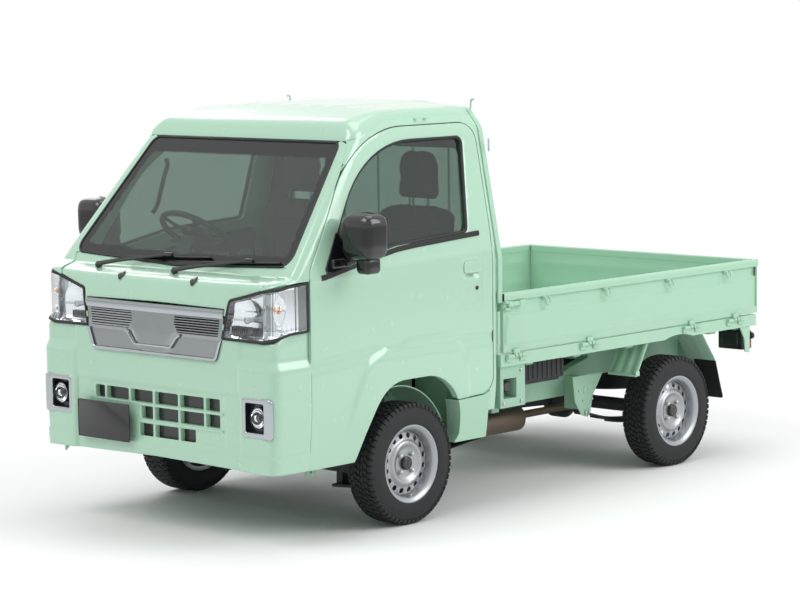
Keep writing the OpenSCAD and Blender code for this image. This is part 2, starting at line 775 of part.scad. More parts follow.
mirror_y = door_front_y + 235;
module door_mirror() {
    color(black) {
        // foot in the window's front corner
        intersection() {
            cab_skin(-3, 17);
            side_cut(inset(window_side, 1));
            block(0, far, door_front_y + 40, door_front_y + 250, 1100, 1290);
        }
        // arm and head
        block(half_w - 17, half_w + 40, mirror_y - 60, mirror_y - 10, 1158, 1196);
        block(half_w + 2, half_w + 128, mirror_y - 75, mirror_y + 15, 1180, 1370);
    }
}

// ---- Bed ----
bed_front_y = cab_back_y + 10;
panel_y = [bed_front_y, bed_front_y + 14];
gate_y = [bed_front_y + 14 + gate_gap, tail_y - 9];
gate_z = [deck_z + 18, deck_z + gate_h];
sill_out = half_w - 7.5;
pin_xz = [half_w + 4.5, deck_z + 4];
pin_r = 5;
tail_pin = [tail_y - 7.5, deck_z + 4];
hinge_at = [gate_y[0] + 80, gate_y[0] + 605, rear_axle_y + 95, tail_y - 204];
tail_hinge_at = [-520, -180, 180, 520];
tail_in_y = tail_y - 9 - gate_t;

module bed_deck() {
    color(green) {
        difference() {
            union() {
                wide(side_gate_in - 5, bed_front_y, tail_y - 15.5, deck_z - deck_t, deck_z - 6);
                wide(side_gate_in - 5, panel_y[1] + seat, tail_y - 15.5, deck_z - 7, deck_z);
                pair() {
                    block(side_gate_in - 6, sill_out, bed_front_y, tail_y - 20, deck_z - 43, deck_z + 12);
                    for (y = hinge_at) difference() {
                        block(sill_out - 1, pin_xz[0] + 8, y - 70, y + 70, pin_xz[1] - 8, pin_xz[1] + 4);
                        block(sill_out, pin_xz[0] + 20, y - 26, y + 26, pin_xz[1] - 60, pin_xz[1] + 60);
                    }
                    for (y = hinge_at) rod_y(y - 60, y + 60, pin_xz[0], pin_xz[1], pin_r);
                }
                for (x = tail_hinge_at) {
                    for (s = [-1, 1]) translate([x + s * 40, 0, tail_pin[1]])
                        wide(12, tail_y - 40, tail_pin[0] + 6, -7, 4);
                    rod_x(x - 45, x + 45, tail_pin[0], tail_pin[1], 4);
                }
            }
            // the sill arches over the rear wheel
            rod_x(-far, far, rear_axle_y, tyre_r, tyre_r + 106);
        }
    }
}

bar_z = deck_z - deck_t - 40;
module bed_crossbars() {
    color(green)
        for (y = [bed_front_y + 250, cab_back_y + 600, rear_axle_y - 330, rear_axle_y + 330, tail_y - 115])
            wide(side_gate_in - 20, y - 25, y + 25, bar_z, deck_z - deck_t - seat);
}

module bed_runners() {
    color(green) pair()
        block(rail_in, rail_out, bed_front_y + 5, tail_y - 50, rail_top_r + seat, bar_z - seat);
}

module guard_frame() {
    color(green) {
        wide(side_gate_in - 8, panel_y[0], panel_y[1], deck_z - 6 + seat, deck_z + gate_h);
        along_y(panel_y[0], panel_y[1]) intersection() {
            difference() {
                polygon(outline(cab_front));
                polygon(outline(inset(cab_front, 34)));
            }
            translate([-far, deck_z + gate_h]) square([2 * far, 1000]);
        }
        along_y(panel_y[0], panel_y[1]) intersection() {
            polygon(outline(inset(cab_front, 2)));
            translate([-far, deck_z + gate_h - 1]) square([2 * far, 40]);
        }
        // rope hooks at the top corners
        pair() {
            block(half_w - 180, half_w - 170, panel_y[0] + 2, panel_y[1], height - 50, height + 2);
            block(half_w - 180, half_w - 156, panel_y[0] + 2, panel_y[1], height - 8, height + 2);
        }
    }
}

module gate_panel(w0, w1, z0, z1, t) {
    // panel with a thicker rail along its top
    block(w0, w1, 6, t - 4, z0, z1 - 20);
    block(w0, w1, 0, t, z1 - 22, z1);
    block(w0, w1, 0, t, z0, z0 + 24);
    for (e = [w0, w1 - 24]) block(e, e + 24, 0, t, z0, z1);
}

module side_gate() {
    x1 = side_gate_in + gate_t;
    color(green) difference() {
        union() {
            translate([x1, 0, 0]) rotate([0, 0, 90])
                gate_panel(gate_y[0], gate_y[1], gate_z[0], gate_z[1], gate_t);
            for (y = hinge_at) {
                block(x1 - 1, x1 + 7, y - 20, y + 20, pin_xz[1], gate_z[0] + 22);
                rod_y(y - 20, y + 20, pin_xz[0], pin_xz[1], pin_r + 4.5);
            }
            // rope hooks on the outer face
            for (y = [gate_y[0] + 297, gate_y[0] + 735, gate_y[0] + 1219, tail_y - 268])
                block(x1 - 7, x1 + 14, y - 22, y + 22, gate_z[1] - 56, gate_z[1] - 44);
        }
        for (y = hinge_at) rod_y(y - 90, y + 90, pin_xz[0], pin_xz[1], pin_r + 0.6);
    }
}

module tail_gate() {
    w = side_gate_in - gate_gap;
    color(green) difference() {
        union() {
            translate([0, tail_y - 9, 0]) mirror([0, 1, 0]) gate_panel(-w, w, gate_z[0], gate_z[1], gate_t);
            for (x = tail_hinge_at) {
                block(x - 20, x + 20, tail_y - 10, tail_y - 3, tail_pin[1], gate_z[0] + 22);
                rod_x(x - 20, x + 20, tail_pin[0], tail_pin[1], 7.5);
            }
        }
        for (x = tail_hinge_at) rod_x(x - 90, x + 90, tail_pin[0], tail_pin[1], 4.6);
    }
}

module tail_lamps() {
    color("#a32424") pair() block(half_w - 170, half_w - 30, tail_y - 60, tail_y - 24, 500, 590);
    color(green) pair()
        block(half_w - 172, half_w - 12, tail_y - 66, tail_y - 60.1, 480, deck_z - 43 - seat);
}

// Sheets before and behind each rear wheel, with a rubber flap behind
module rear_mudguards() {
    x = [half_w - 180, half_w - 12];
    top = deck_z - 43 - seat;
    t = 5;
    color(green) pair() {
        along_x(x[0], x[1]) polygon([[rear_axle_y - 324, 470], [rear_axle_y - 235, top],
            [rear_axle_y - 235 - t, top], [rear_axle_y - 324 - t, 470]]);
        along_x(x[0], x[1]) polygon([[rear_axle_y + 302 + t, 472], [rear_axle_y + 192 + t, top],
            [rear_axle_y + 192, top], [rear_axle_y + 302, 472]]);
    }
    color(black) pair() along_x(x[0] + 40, x[1]) polygon([[rear_axle_y + 303 + t, 472 - seat],
        [rear_axle_y + 303, 472 - seat], [rear_axle_y + 357, 286], [rear_axle_y + 357 + t, 286]]);
}

// ---- Nodes ----
module steering_rack() {
    color("#8d9094") {
        rod_x(-330, 330, rack_y, rack_z, 11.6);
        rod_x(-arm_x - 8, arm_x + 8, rack_y, rack_z, 8);
    }
}
module knuckle_left() { knuckle(); }
module knuckle_right() { mirror([1, 0, 0]) knuckle(); }
module tyre_front_left() { wheel_at(1, front_axle_y) tyre(); }
module rim_front_left() { wheel_at(1, front_axle_y) rim(disc_r); }
module tyre_front_right() { wheel_at(-1, front_axle_y) tyre(); }
module rim_front_right() { wheel_at(-1, front_axle_y) rim(disc_r); }
module tyre_rear_left() { wheel_at(1, rear_axle_y) tyre(); }
module rim_rear_left() { wheel_at(1, rear_axle_y) rim(disc_r); }
module tyre_rear_right() { wheel_at(-1, rear_axle_y) tyre(); }
module rim_rear_right() { wheel_at(-1, rear_axle_y) rim(disc_r); }
module door_left() { door(); }
module door_right() { mirror([1, 0, 0]) door(); }
module door_glass_left() { door_glass(); }
module door_glass_right() { mirror([1, 0, 0]) door_glass(); }
module mirror_left() { door_mirror(); }
module mirror_right() { mirror([1, 0, 0]) door_mirror(); }
module gate_left() { side_gate(); }
module gate_right() { mirror([1, 0, 0]) side_gate(); }
module tailgate() { tail_gate(); }

// ---- What is drawn: every node, or the one chosen ----
frame_rails();
frame_crossmembers();
frame_brackets();
engine();
exhaust();
fuel_tank();
propeller_shaft();
rear_axle();
rear_springs();
front_suspension();
spare_wheel();
cab_floor();
firewall();
seat_platform();
wheel_houses();
cab_sills();
front_bumper();
front_panel();
grille();
headlamps();
fog_lamps();
number_plate();
windscreen_pillars();
cab_roof();
cab_rear_wall();
cab_glass();
wipers();
dashboard();
steering_column();
seats();
bed_deck();
bed_crossbars();
bed_runners();
guard_frame();
tail_lamps();
rear_mudguards();
steering_wheel();
steering_rack();
knuckle_left();
knuckle_right();
tyre_front_left();
rim_front_left();
tyre_front_right();
rim_front_right();
tyre_rear_left();
rim_rear_left();
tyre_rear_right();
rim_rear_right();
door_left();
door_glass_left();
mirror_left();
door_right();
door_glass_right();
mirror_right();
gate_left();
gate_right();
tailgate();
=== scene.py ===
import logging
import math
from dataclasses import dataclass, field
from enum import Enum
from typing import Callable

import bmesh
import bpy
import numpy as np
from mathutils import Matrix, Vector


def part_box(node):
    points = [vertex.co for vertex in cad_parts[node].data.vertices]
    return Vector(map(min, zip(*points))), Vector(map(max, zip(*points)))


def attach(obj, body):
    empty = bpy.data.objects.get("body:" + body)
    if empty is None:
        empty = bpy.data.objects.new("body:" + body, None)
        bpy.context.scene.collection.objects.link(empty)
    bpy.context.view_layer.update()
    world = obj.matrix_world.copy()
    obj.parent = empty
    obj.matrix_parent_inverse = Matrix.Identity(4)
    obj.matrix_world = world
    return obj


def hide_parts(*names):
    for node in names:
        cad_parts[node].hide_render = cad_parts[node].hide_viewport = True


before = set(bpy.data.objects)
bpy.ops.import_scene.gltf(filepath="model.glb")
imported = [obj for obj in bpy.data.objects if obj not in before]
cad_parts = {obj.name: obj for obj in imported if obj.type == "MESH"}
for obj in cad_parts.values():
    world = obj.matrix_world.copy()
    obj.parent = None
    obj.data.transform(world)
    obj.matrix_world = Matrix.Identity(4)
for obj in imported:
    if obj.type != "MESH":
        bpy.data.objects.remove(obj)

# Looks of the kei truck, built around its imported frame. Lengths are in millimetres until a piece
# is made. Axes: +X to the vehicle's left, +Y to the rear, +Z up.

MM = 0.001
MERGE = 2e-6             # points nearer than this become one, in metres
TINT_SPAN = 300 * MM     # how fast a finish's colour changes
SHEEN_SPAN = 60 * MM     # how fast its roughness changes
COAT_ROUGHNESS = 0.04
SNAP = 0.52              # share of a cell within which a grid point moves onto the edge
BATCH = 1_500_000        # point and line pairs that one step measures
VOXEL = 0.006            # cell of a cushion's cover, in metres
PRESSURE = 4.0           # what blows a cushion up
CLOTH_FRAMES = 20
SEW_DEPTH = 5.0          # how deep a sewn channel lies
LOG = logging.getLogger("kei_truck")
Array = np.ndarray
Surface = Callable[[Array, Array], Array]
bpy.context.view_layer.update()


# ---- Finishes ----
def linear(colour: str) -> tuple[float, float, float, float]:
    """The linear colour of an sRGB hex value.

    Args: colour: six hex digits after a hash.
    Returns: red, green, blue and an alpha of 1.
    """
    parts = [int(colour[i:i + 2], 16) / 255 for i in (1, 3, 5)]
    return (*[c / 12.92 if c <= 0.04045 else ((c + 0.055) / 1.055) ** 2.4 for c in parts], 1.0)


def add(tree: bpy.types.NodeTree, kind: str, inputs: dict | None = None, **settings) -> bpy.types.Node:
    """A node with its settings, its values and its links.

    Args: tree: where it goes. kind: the node's type. inputs: a value or a socket for each input.
    settings: the node's own properties.
    Returns: the node.
    """
    made = tree.nodes.new(kind)
    for name, value in settings.items():
        setattr(made, name, value)
    for name, value in (inputs or {}).items():
        if isinstance(value, bpy.types.NodeSocket):
            tree.links.new(value, made.inputs[name])
        else:
            made.inputs[name].default_value = value
    return made


class Pattern(Enum):
    """How a surface was made, which sets its relief."""

    SPRAYED = "sprayed"
    MOULDED = "moulded"
    BRUSHED = "brushed"
    WOVEN = "woven"


@dataclass(frozen=True)
class Finish:
    """A painted, moulded or plated surface: one Principled shader, a fine relief and a faint mottle."""

    name: str
    colour: str
    roughness: float
    metallic: float = 0.0
    coat: float = 0.0
    pattern: Pattern = Pattern.SPRAYED
    grain: float = 4.0
    relief: float = 0.01
    mottle: float = 0.03
    wear: float = 0.04

    def material(self) -> bpy.types.Material:
        """The material, made once."""
        made = bpy.data.materials.get(self.name)
        if made is None:
            made = bpy.data.materials.new(self.name)
            made.use_nodes = True
            made.node_tree.nodes.clear()
            shader = self.shader(made.node_tree)
            add(made.node_tree, "ShaderNodeOutputMaterial", {"Surface": shader})
        return made

    def shader(self, tree: bpy.types.NodeTree) -> bpy.types.NodeSocket:
        """The surface shader of the finish."""
        place = add(tree, "ShaderNodeTexCoord").outputs["Object"]
        body = add(tree, "ShaderNodeBsdfPrincipled", {
            "Base Color": self.tint(tree, place), "Metallic": self.metallic,
            "Roughness": self.sheen(tree, place), "Coat Weight": self.coat, "Coat Roughness": COAT_ROUGHNESS,
            "Normal": self.normal(tree, place)})
        return body.outputs[0]

    def tint(self, tree: bpy.types.NodeTree, place: bpy.types.NodeSocket) -> bpy.types.NodeSocket:
        """The colour with a slow, faint change."""
        slow = add(tree, "ShaderNodeTexNoise", {"Vector": place, "Scale": 1 / TINT_SPAN, "Detail": 3.0})
        base = linear(self.colour)
        dark = tuple(c * (1 - self.mottle) for c in base[:3]) + (1.0,)
        # Sockets 6 and 7 are the two colours, and output 2 is the mixed one.
        mix = add(tree, "ShaderNodeMix", {0: slow.outputs[0], 6: dark, 7: base}, data_type="RGBA")
        return mix.outputs[2]

    def sheen(self, tree: bpy.types.NodeTree, place: bpy.types.NodeSocket) -> bpy.types.NodeSocket:
        """Roughness that varies a little from place to place, as handling and dust leave it."""
        patch = add(tree, "ShaderNodeTexNoise", {"Vector": place, "Scale": 1 / SHEEN_SPAN, "Detail": 4.0})
        low, high = max(0.02, self.roughness - self.wear), min(1.0, self.roughness + self.wear)
        ranged = add(tree, "ShaderNodeMapRange", {"Value": patch.outputs[0], "To Min": low, "To Max": high})
        return ranged.outputs[0]

    def normal(self, tree: bpy.types.NodeTree, place: bpy.types.NodeSocket) -> bpy.types.NodeSocket:
        """The relief of the pattern, at its real grain size."""
        scale = 1 / (self.grain * MM)
        if self.pattern is Pattern.BRUSHED:
            turned = add(tree, "ShaderNodeMapping", {"Vector": place, "Scale": (0.05, 1.0, 1.0)})
            height = add(tree, "ShaderNodeTexNoise", {"Vector": turned.outputs[0], "Scale": scale}).outputs[0]
        elif self.pattern is Pattern.WOVEN:
            warp = add(tree, "ShaderNodeTexWave", {"Vector": place, "Scale": scale, "Distortion": 1.0})
            weft = add(tree, "ShaderNodeTexWave", {"Vector": place, "Scale": scale, "Distortion": 1.0},
                       bands_direction="Z")
            height = add(tree, "ShaderNodeMath", {0: warp.outputs[1], 1: weft.outputs[1]},
                         operation="MAXIMUM").outputs[0]
        elif self.pattern is Pattern.MOULDED:
            cells = add(tree, "ShaderNodeTexVoronoi", {"Vector": place, "Scale": scale})
            height = cells.outputs["Distance"]
        else:
            height = add(tree, "ShaderNodeTexNoise", {"Vector": place, "Scale": scale}).outputs[0]
        bump = add(tree, "ShaderNodeBump", {"Height": height, "Distance": self.relief * MM, "Strength": 1.0})
        return bump.outputs[0]


@dataclass(frozen=True)
class Pane(Finish):
    """Clear or tinted glass that lets lamps through, dark where a piece's own "frit" attribute is 1."""

    frit: bool = False

    def shader(self, tree: bpy.types.NodeTree) -> bpy.types.NodeSocket:
        """Tinted glass mixed with clear for lamp rays, and the black border printed on it."""
        place = add(tree, "ShaderNodeTexCoord").outputs["Object"]
        glass = add(tree, "ShaderNodeBsdfPrincipled", {
            "Base Color": linear(self.colour), "Roughness": self.roughness, "IOR": 1.5,
            "Transmission Weight": 1.0, "Normal": self.normal(tree, place)}).outputs[0]
        clear = add(tree, "ShaderNodeBsdfTransparent", {"Color": linear(self.colour)}).outputs[0]
        lamp = add(tree, "ShaderNodeLightPath").outputs["Is Shadow Ray"]
        seen = add(tree, "ShaderNodeMixShader", {0: lamp, 1: glass, 2: clear}).outputs[0]
        if not self.frit:
            return seen
        edge = add(tree, "ShaderNodeAttribute", attribute_name="frit").outputs["Fac"]
        ink = add(tree, "ShaderNodeBsdfPrincipled", {
            "Base Color": linear("#121415"), "Roughness": 0.2, "Coat Weight": 0.0,
            "Normal": self.normal(tree, place)}).outputs[0]
        return add(tree, "ShaderNodeMixShader", {0: edge, 1: seen, 2: ink}).outputs[0]


BODY = Finish("sprayed_mint_enamel", "#a8d0b7", 0.26, coat=0.9, grain=3.0, relief=0.004, mottle=0.02)
BED = Finish("satin_mint_enamel", "#a6cfb5", 0.42, coat=0.2, grain=3.0, relief=0.012, mottle=0.05)
CHASSIS = Finish("dipped_mint_chassis_enamel", "#9fc6ae", 0.5, grain=4.0, relief=0.03, mottle=0.10)
RUBBER = Finish("moulded_tyre_rubber", "#1e1f21", 0.72, pattern=Pattern.MOULDED, grain=1.5, relief=0.05, mottle=0.25)
SEAL = Finish("extruded_rubber_seal", "#191a1b", 0.6, grain=2.0, relief=0.02, mottle=0.1)
GLOSS = Finish("gloss_moulded_abs", "#17181a", 0.16, coat=0.4, grain=2.0, relief=0.002)
TRIM = Finish("grained_moulded_polypropylene", "#33373a", 0.6, pattern=Pattern.MOULDED, grain=1.2, relief=0.06)
SILVER = Finish("silver_lacquered_pressed_steel", "#a9acb0", 0.36, metallic=0.75, coat=0.2, relief=0.01, mottle=0.08)
CHROME = Finish("chrome_plated_abs", "#b4babd", 0.12, metallic=1.0, relief=0.001, mottle=0.02, wear=0.02)
GRILLE = Finish("satin_silver_plated_abs", "#9ba0a1", 0.24, metallic=0.9, pattern=Pattern.BRUSHED, grain=1.5,
                relief=0.01)
IRON = Finish("black_chassis_paint", "#2c2e30", 0.55, grain=2.5, relief=0.08, mottle=0.2)
CAST = Finish("sand_cast_iron", "#6a6d6f", 0.65, metallic=0.5, grain=1.5, relief=0.2, mottle=0.25)
PIPE = Finish("heat_tinted_aluminised_steel", "#8a7b6d", 0.45, metallic=0.8, grain=8.0, relief=0.03, mottle=0.4)
BOLT = Finish("zinc_plated_steel", "#c3c6c2", 0.35, metallic=0.95, grain=1.0, relief=0.02, mottle=0.15)
CLOTH = Finish("woven_polyester_seat_cloth", "#4a4e50", 0.85, pattern=Pattern.WOVEN, grain=6.0, relief=0.25,
               mottle=0.12)
LENS = Pane("clear_moulded_polycarbonate", "#fafcfd", 0.01, relief=0.001)
GLASS = Pane("green_tinted_float_glass", "#a9bfb6", 0.0, relief=0.0005, grain=200)
SCREEN = Pane("laminated_windscreen_glass", "#b3c9bf", 0.0, relief=0.0005, grain=200, frit=True)
AMBER = Pane("amber_moulded_lens", "#f59a3c", 0.05, relief=0.001)
RED = Finish("red_moulded_acrylic", "#a51d1a", 0.12, coat=0.6, relief=0.002)
BOWL = Finish("vacuum_plated_reflector", "#eef1f3", 0.05, metallic=1.0, relief=0.002, wear=0.02)
MIRROR = Finish("silvered_mirror_glass", "#dfe6e8", 0.02, metallic=1.0, relief=0.0, wear=0.01)
LAMP_BLACK = Finish("satin_black_lamp_body", "#1d1f21", 0.3, coat=0.3, relief=0.003)


# ---- Meshes ----
def placed(name: str, data: bpy.types.ID) -> bpy.types.Object:
    """An object that shows this data, in the scene and at its origin."""
    made = bpy.data.objects.new(name, data)
    bpy.context.scene.collection.objects.link(made)
    return made


@dataclass
class Shape:
    """Points and faces of a piece before Blender holds them."""

    points: Array
    faces: list[Array] = field(default_factory=list)
    marks: dict[str, Array] = field(default_factory=dict)

    def __add__(self, other: "Shape") -> "Shape":
        """Both shapes as one."""
        moved = [f + len(self.points) for f in other.faces]
        return Shape(np.vstack([self.points, other.points]), self.faces + moved)

    def flipped(self) -> "Shape":
        """The shape with its faces turned over."""
        return Shape(self.points, [f[:, ::-1] for f in self.faces], self.marks)

    def mirrored(self) -> "Shape":
        """The shape on the other side of the centreline, its faces turned to point out again."""
        return Shape(self.points * (-1, 1, 1), self.flipped().faces, self.marks)

    def pair(self) -> "Shape":
        """The shape and its mirror."""
        return self + self.mirrored()

    def shifted(self, *by: float) -> "Shape":
        """The shape moved by x, y, z."""
        return Shape(self.points + np.array(by), self.faces, self.marks)

    def turned(self, axis: str, degrees: float, about: tuple = (0, 0, 0)) -> "Shape":
        """The shape turned about an axis through a point."""
        turn = np.array(Matrix.Rotation(math.radians(degrees), 3, axis))
        return Shape((self.points - about) @ turn.T + about, self.faces, self.marks)

    def mesh(self, name: str) -> bpy.types.Mesh:
        """A plain mesh of the shape, in metres."""
        made = bpy.data.meshes.new(name)
        made.from_pydata((self.points * MM).tolist(), [], [row for f in self.faces for row in f.tolist()])
        return made

    def build(self, name: str, finish: Finish, body: str, replaces: tuple = (), slot: str = "",
              smooth: float = 38.0) -> bpy.types.Object:
        """Makes the piece.

        Args: name: its name. finish: its finish. body: the body it rides on. replaces: the frame's
        nodes it stands for. slot: not used. smooth: the angle past
        which an edge stays sharp.
        Returns: the object.
        """
        mesh = self.mesh(name)
        for mark, values in self.marks.items():
            mesh.attributes.new(mark, "FLOAT", "POINT").data.foreach_set("value", values.astype(np.float32))
        work = bmesh.new()
        work.from_mesh(mesh)
        bmesh.ops.remove_doubles(work, verts=work.verts, dist=MERGE)
        bmesh.ops.dissolve_degenerate(work, edges=work.edges, dist=MERGE / 2)
        work.to_mesh(mesh)
        work.free()
        mesh.polygons.foreach_set("use_smooth", np.ones(len(mesh.polygons), bool))
        mesh.set_sharp_from_angle(angle=math.radians(smooth))
        made = placed(name, mesh)
        mesh.materials.append(finish.material())
        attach(made, body)
        if replaces:
            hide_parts(*replaces)
        LOG.info("%s: %d faces", name, len(mesh.polygons))
        return made


def joined(shapes: list[Shape]) -> Shape:
    """Several shapes as one."""
    starts = np.cumsum([0] + [len(s.points) for s in shapes])
    faces = [f + at for s, at in zip(shapes, starts) for f in s.faces]
    return Shape(np.vstack([s.points for s in shapes]), faces)


def grid(points: Array, around: bool = False, along: bool = False) -> Shape:
    """Quads over a grid of points of shape (n, m, 3), closed in either direction if asked."""
    n, m = points.shape[:2]
    i, j = np.meshgrid(np.arange(n if along else n - 1), np.arange(m if around else m - 1), indexing="ij")
    i2, j2 = (i + 1) % n, (j + 1) % m
    quads = np.stack([i * m + j, i2 * m + j, i2 * m + j2, i * m + j2], -1).reshape(-1, 4)
    return Shape(points.reshape(-1, 3), [quads])


def capped(points: Array) -> Shape:
    """A tube over rings of points of shape (n, m, 3), with a flat face at each end."""
    n, m = points.shape[:2]
    skin = grid(points, around=True)
    ends = [np.arange(m)[None], (np.arange(m) + (n - 1) * m)[None, ::-1]]
    return Shape(skin.points, skin.faces + ends)


def lathe(profile: list, centre: tuple, axis: str = "X", count: int = 96) -> Shape:
    """A profile of (distance along the axis, radius) carried round the axis through centre."""
    p = np.array(profile, float)
    a = np.linspace(0, 2 * np.pi, count, endpoint=False)
    ring = np.stack([np.broadcast_to(p[:, None, 0], (len(p), count)), p[:, None, 1] * np.cos(a),
                     p[:, None, 1] * np.sin(a)], -1)
    order = {"X": [0, 1, 2], "Y": [2, 0, 1], "Z": [1, 2, 0]}[axis]
    return grid(ring[..., order] + np.array(centre), around=True)


def rounded_box(low: tuple, high: tuple, radius: float = 2.0, steps: int = 2) -> Shape:
    """A box with rounded edges: each face's corner zones lean out on a sphere of the edge's radius."""
    low, high = np.array(low, float), np.array(high, float)
    half, mid = (high - low) / 2, (high + low) / 2
    r = min(radius, half.min() * 0.98)
    lean = np.concatenate([np.linspace(-1, 0, steps + 1), np.linspace(0, 1, steps + 1)])
    side = np.concatenate([-np.ones(steps + 1), np.ones(steps + 1)])
    u, v = np.meshgrid(lean, lean, indexing="ij")
    su, sv = np.meshgrid(side, side, indexing="ij")
    shapes = []
    for k in range(3):
        for s in (-1, 1):
            out = np.stack([u, v, np.ones_like(u)], -1)
            out /= np.linalg.norm(out, axis=-1, keepdims=True)
            place = np.stack([su, sv, np.ones_like(u)], -1)
            order = [(2, 0, 1), (1, 2, 0), (0, 1, 2)][k]
            out, place = out[..., order], place[..., order]
            out[..., k] *= s
            place[..., k] *= s
            face = grid(place * (half - r) + out * r + mid)
            shapes.append(face if s < 0 else face.flipped())
    made = joined(shapes)
    return made.flipped()


def bezier_corners(corners: list, step: float = 6.0) -> Array:
    """The line through corners (u, v, radius), each rounded by an arc, with a point each few degrees."""
    p = np.array(corners, float)
    out = []
    for before, here, after in zip(np.roll(p, 1, 0), p, np.roll(p, -1, 0)):
        to, away = here[:2] - before[:2], after[:2] - here[:2]
        to, away = to / np.linalg.norm(to), away / np.linalg.norm(away)
        turn = math.acos(float(np.clip(to @ away, -1, 1)))
        if here[2] < 0.5 or turn < 0.01:
            out.append(here[None, :2])
            continue
        way = np.sign(to[0] * away[1] - to[1] * away[0])
        start = here[:2] - here[2] * math.tan(turn / 2) * to
        centre = start + way * here[2] * np.array([-to[1], to[0]])
        a = way * np.linspace(0, turn, max(2, math.ceil(math.degrees(turn) / step) + 1))
        e = start - centre
        out.append(centre + np.stack([e[0] * np.cos(a) - e[1] * np.sin(a), e[0] * np.sin(a) + e[1] * np.cos(a)], -1))
    return np.vstack(out)


def rectangle(low: tuple, high: tuple, radius: float, step: float = 6.0) -> Array:
    """The line round a rectangle with rounded corners."""
    (a, b), (c, d) = low, high
    return bezier_corners([(a, b, radius), (c, b, radius), (c, d, radius), (a, d, radius)], step)


def respaced(line: Array, count: int) -> Array:
    """The line with another number of points, spread evenly over its old ones."""
    t = np.linspace(0, len(line) - 1, count)
    return np.column_stack([np.interp(t, np.arange(len(line)), line[:, k]) for k in (0, 1)])


def both_halves(corners: list) -> list:
    """Corners of a right half and their mirror, as one closed line."""
    return corners + [(-u, v, r) for u, v, r in reversed(corners)]


def inset(corners: list, by: float) -> list:
    """The same corners moved inwards, with their radii to match."""
    p = np.array(corners, float)
    out = []
    for before, here, after in zip(np.roll(p, 1, 0), p, np.roll(p, -1, 0)):
        to, away = here[:2] - before[:2], after[:2] - here[:2]
        n = np.array([-to[1], to[0]]) / np.linalg.norm(to)
        m = np.array([-away[1], away[0]]) / np.linalg.norm(away)
        way = np.sign(to[0] * away[1] - to[1] * away[0])
        q = here[:2] + by / (1 + n @ m) * (n + m)
        out.append((q[0], q[1], 0 if here[2] == 0 else max(here[2] - way * by, 1)))
    return out


def prism(line: Array, plane: str, low: float, high: float, radius: float = 1.5) -> Shape:
    """A plate: a closed anticlockwise line in a plane, carried from low to high, with its rims eased.

    Args: line: points (n, 2). plane: "yz", "xz" or "xy". low, high: its two faces. radius: of the rim.
    Returns: the closed shape.
    """
    before, after = np.roll(line, 1, 0), np.roll(line, -1, 0)
    along = after - before
    inward = np.stack([-along[:, 1], along[:, 0]], -1)
    inward /= np.maximum(np.linalg.norm(inward, axis=1, keepdims=True), 1e-9)
    r = min(radius, (high - low) / 2.01)
    rings = [(line + inward * r, low), (line + inward * r * 0.3, low + r * 0.3), (line, low + r),
             (line, high - r), (line + inward * r * 0.3, high - r * 0.3), (line + inward * r, high)]
    points = np.stack([np.column_stack([ring, np.full(len(line), at)]) for ring, at in rings])
    order = {"yz": [2, 0, 1], "xz": [0, 2, 1], "xy": [0, 1, 2]}[plane]
    made = capped(points[..., order])
    return made if plane == "xz" else made.flipped()


def bearings(path: Array, up: tuple, closed: bool = False) -> tuple[Array, Array]:
    """The directions ahead and level sideways at each point of a path."""
    ahead = np.roll(path, -1, 0) - np.roll(path, 1, 0) if closed else np.gradient(path, axis=0)
    ahead /= np.linalg.norm(ahead, axis=1, keepdims=True)
    side = np.cross(ahead, up)
    return ahead, side / np.maximum(np.linalg.norm(side, axis=1, keepdims=True), 1e-9)


def sweep(path: Array, profile: Array, up: tuple = (0, 0, 1), closed: bool = False) -> Shape:
    """A closed profile (side, up) carried along a path, its first axis across the path and level."""
    path = np.asarray(path, float)
    profile = np.asarray(profile, float)
    ahead, side = bearings(path, up, closed)
    rise = np.cross(side, ahead)
    rings = path[:, None] + profile[None, :, :1] * side[:, None] + profile[None, :, 1:] * rise[:, None]
    made = grid(rings, around=True, along=True) if closed else capped(rings)
    return made.flipped()


def circle(radius: float, count: int = 12, flat: float = 1.0) -> Array:
    """Points of a circle or, with flat under 1, of an ellipse."""
    a = np.linspace(0, 2 * np.pi, count, endpoint=False)
    return np.stack([radius * np.cos(a), radius * flat * np.sin(a)], -1)


def curve(points: list, count: int = 24) -> Array:
    """A smooth line through points: a Catmull-Rom spline, each stretch a cubic of its four neighbours."""
    p = np.array(points, float)
    p = np.vstack([2 * p[0] - p[1], p, 2 * p[-1] - p[-2]])
    t = np.linspace(0, len(p) - 3 - 1e-9, count)
    k = t.astype(int)
    f = (t - k)[:, None]
    a, b, c, d = p[k], p[k + 1], p[k + 2], p[k + 3]
    return 0.5 * (2 * b + (c - a) * f + (2 * a - 5 * b + 4 * c - d) * f ** 2 + (3 * b - a - 3 * c + d) * f ** 3)


def tube(points: list, radius: float, count: int = 24, up: tuple = (0.31, 0.17, 0.93), sides: int = 12) -> Shape:
    """A round bar along a smooth line through points."""
    return sweep(curve(points, count), circle(radius, sides), up)


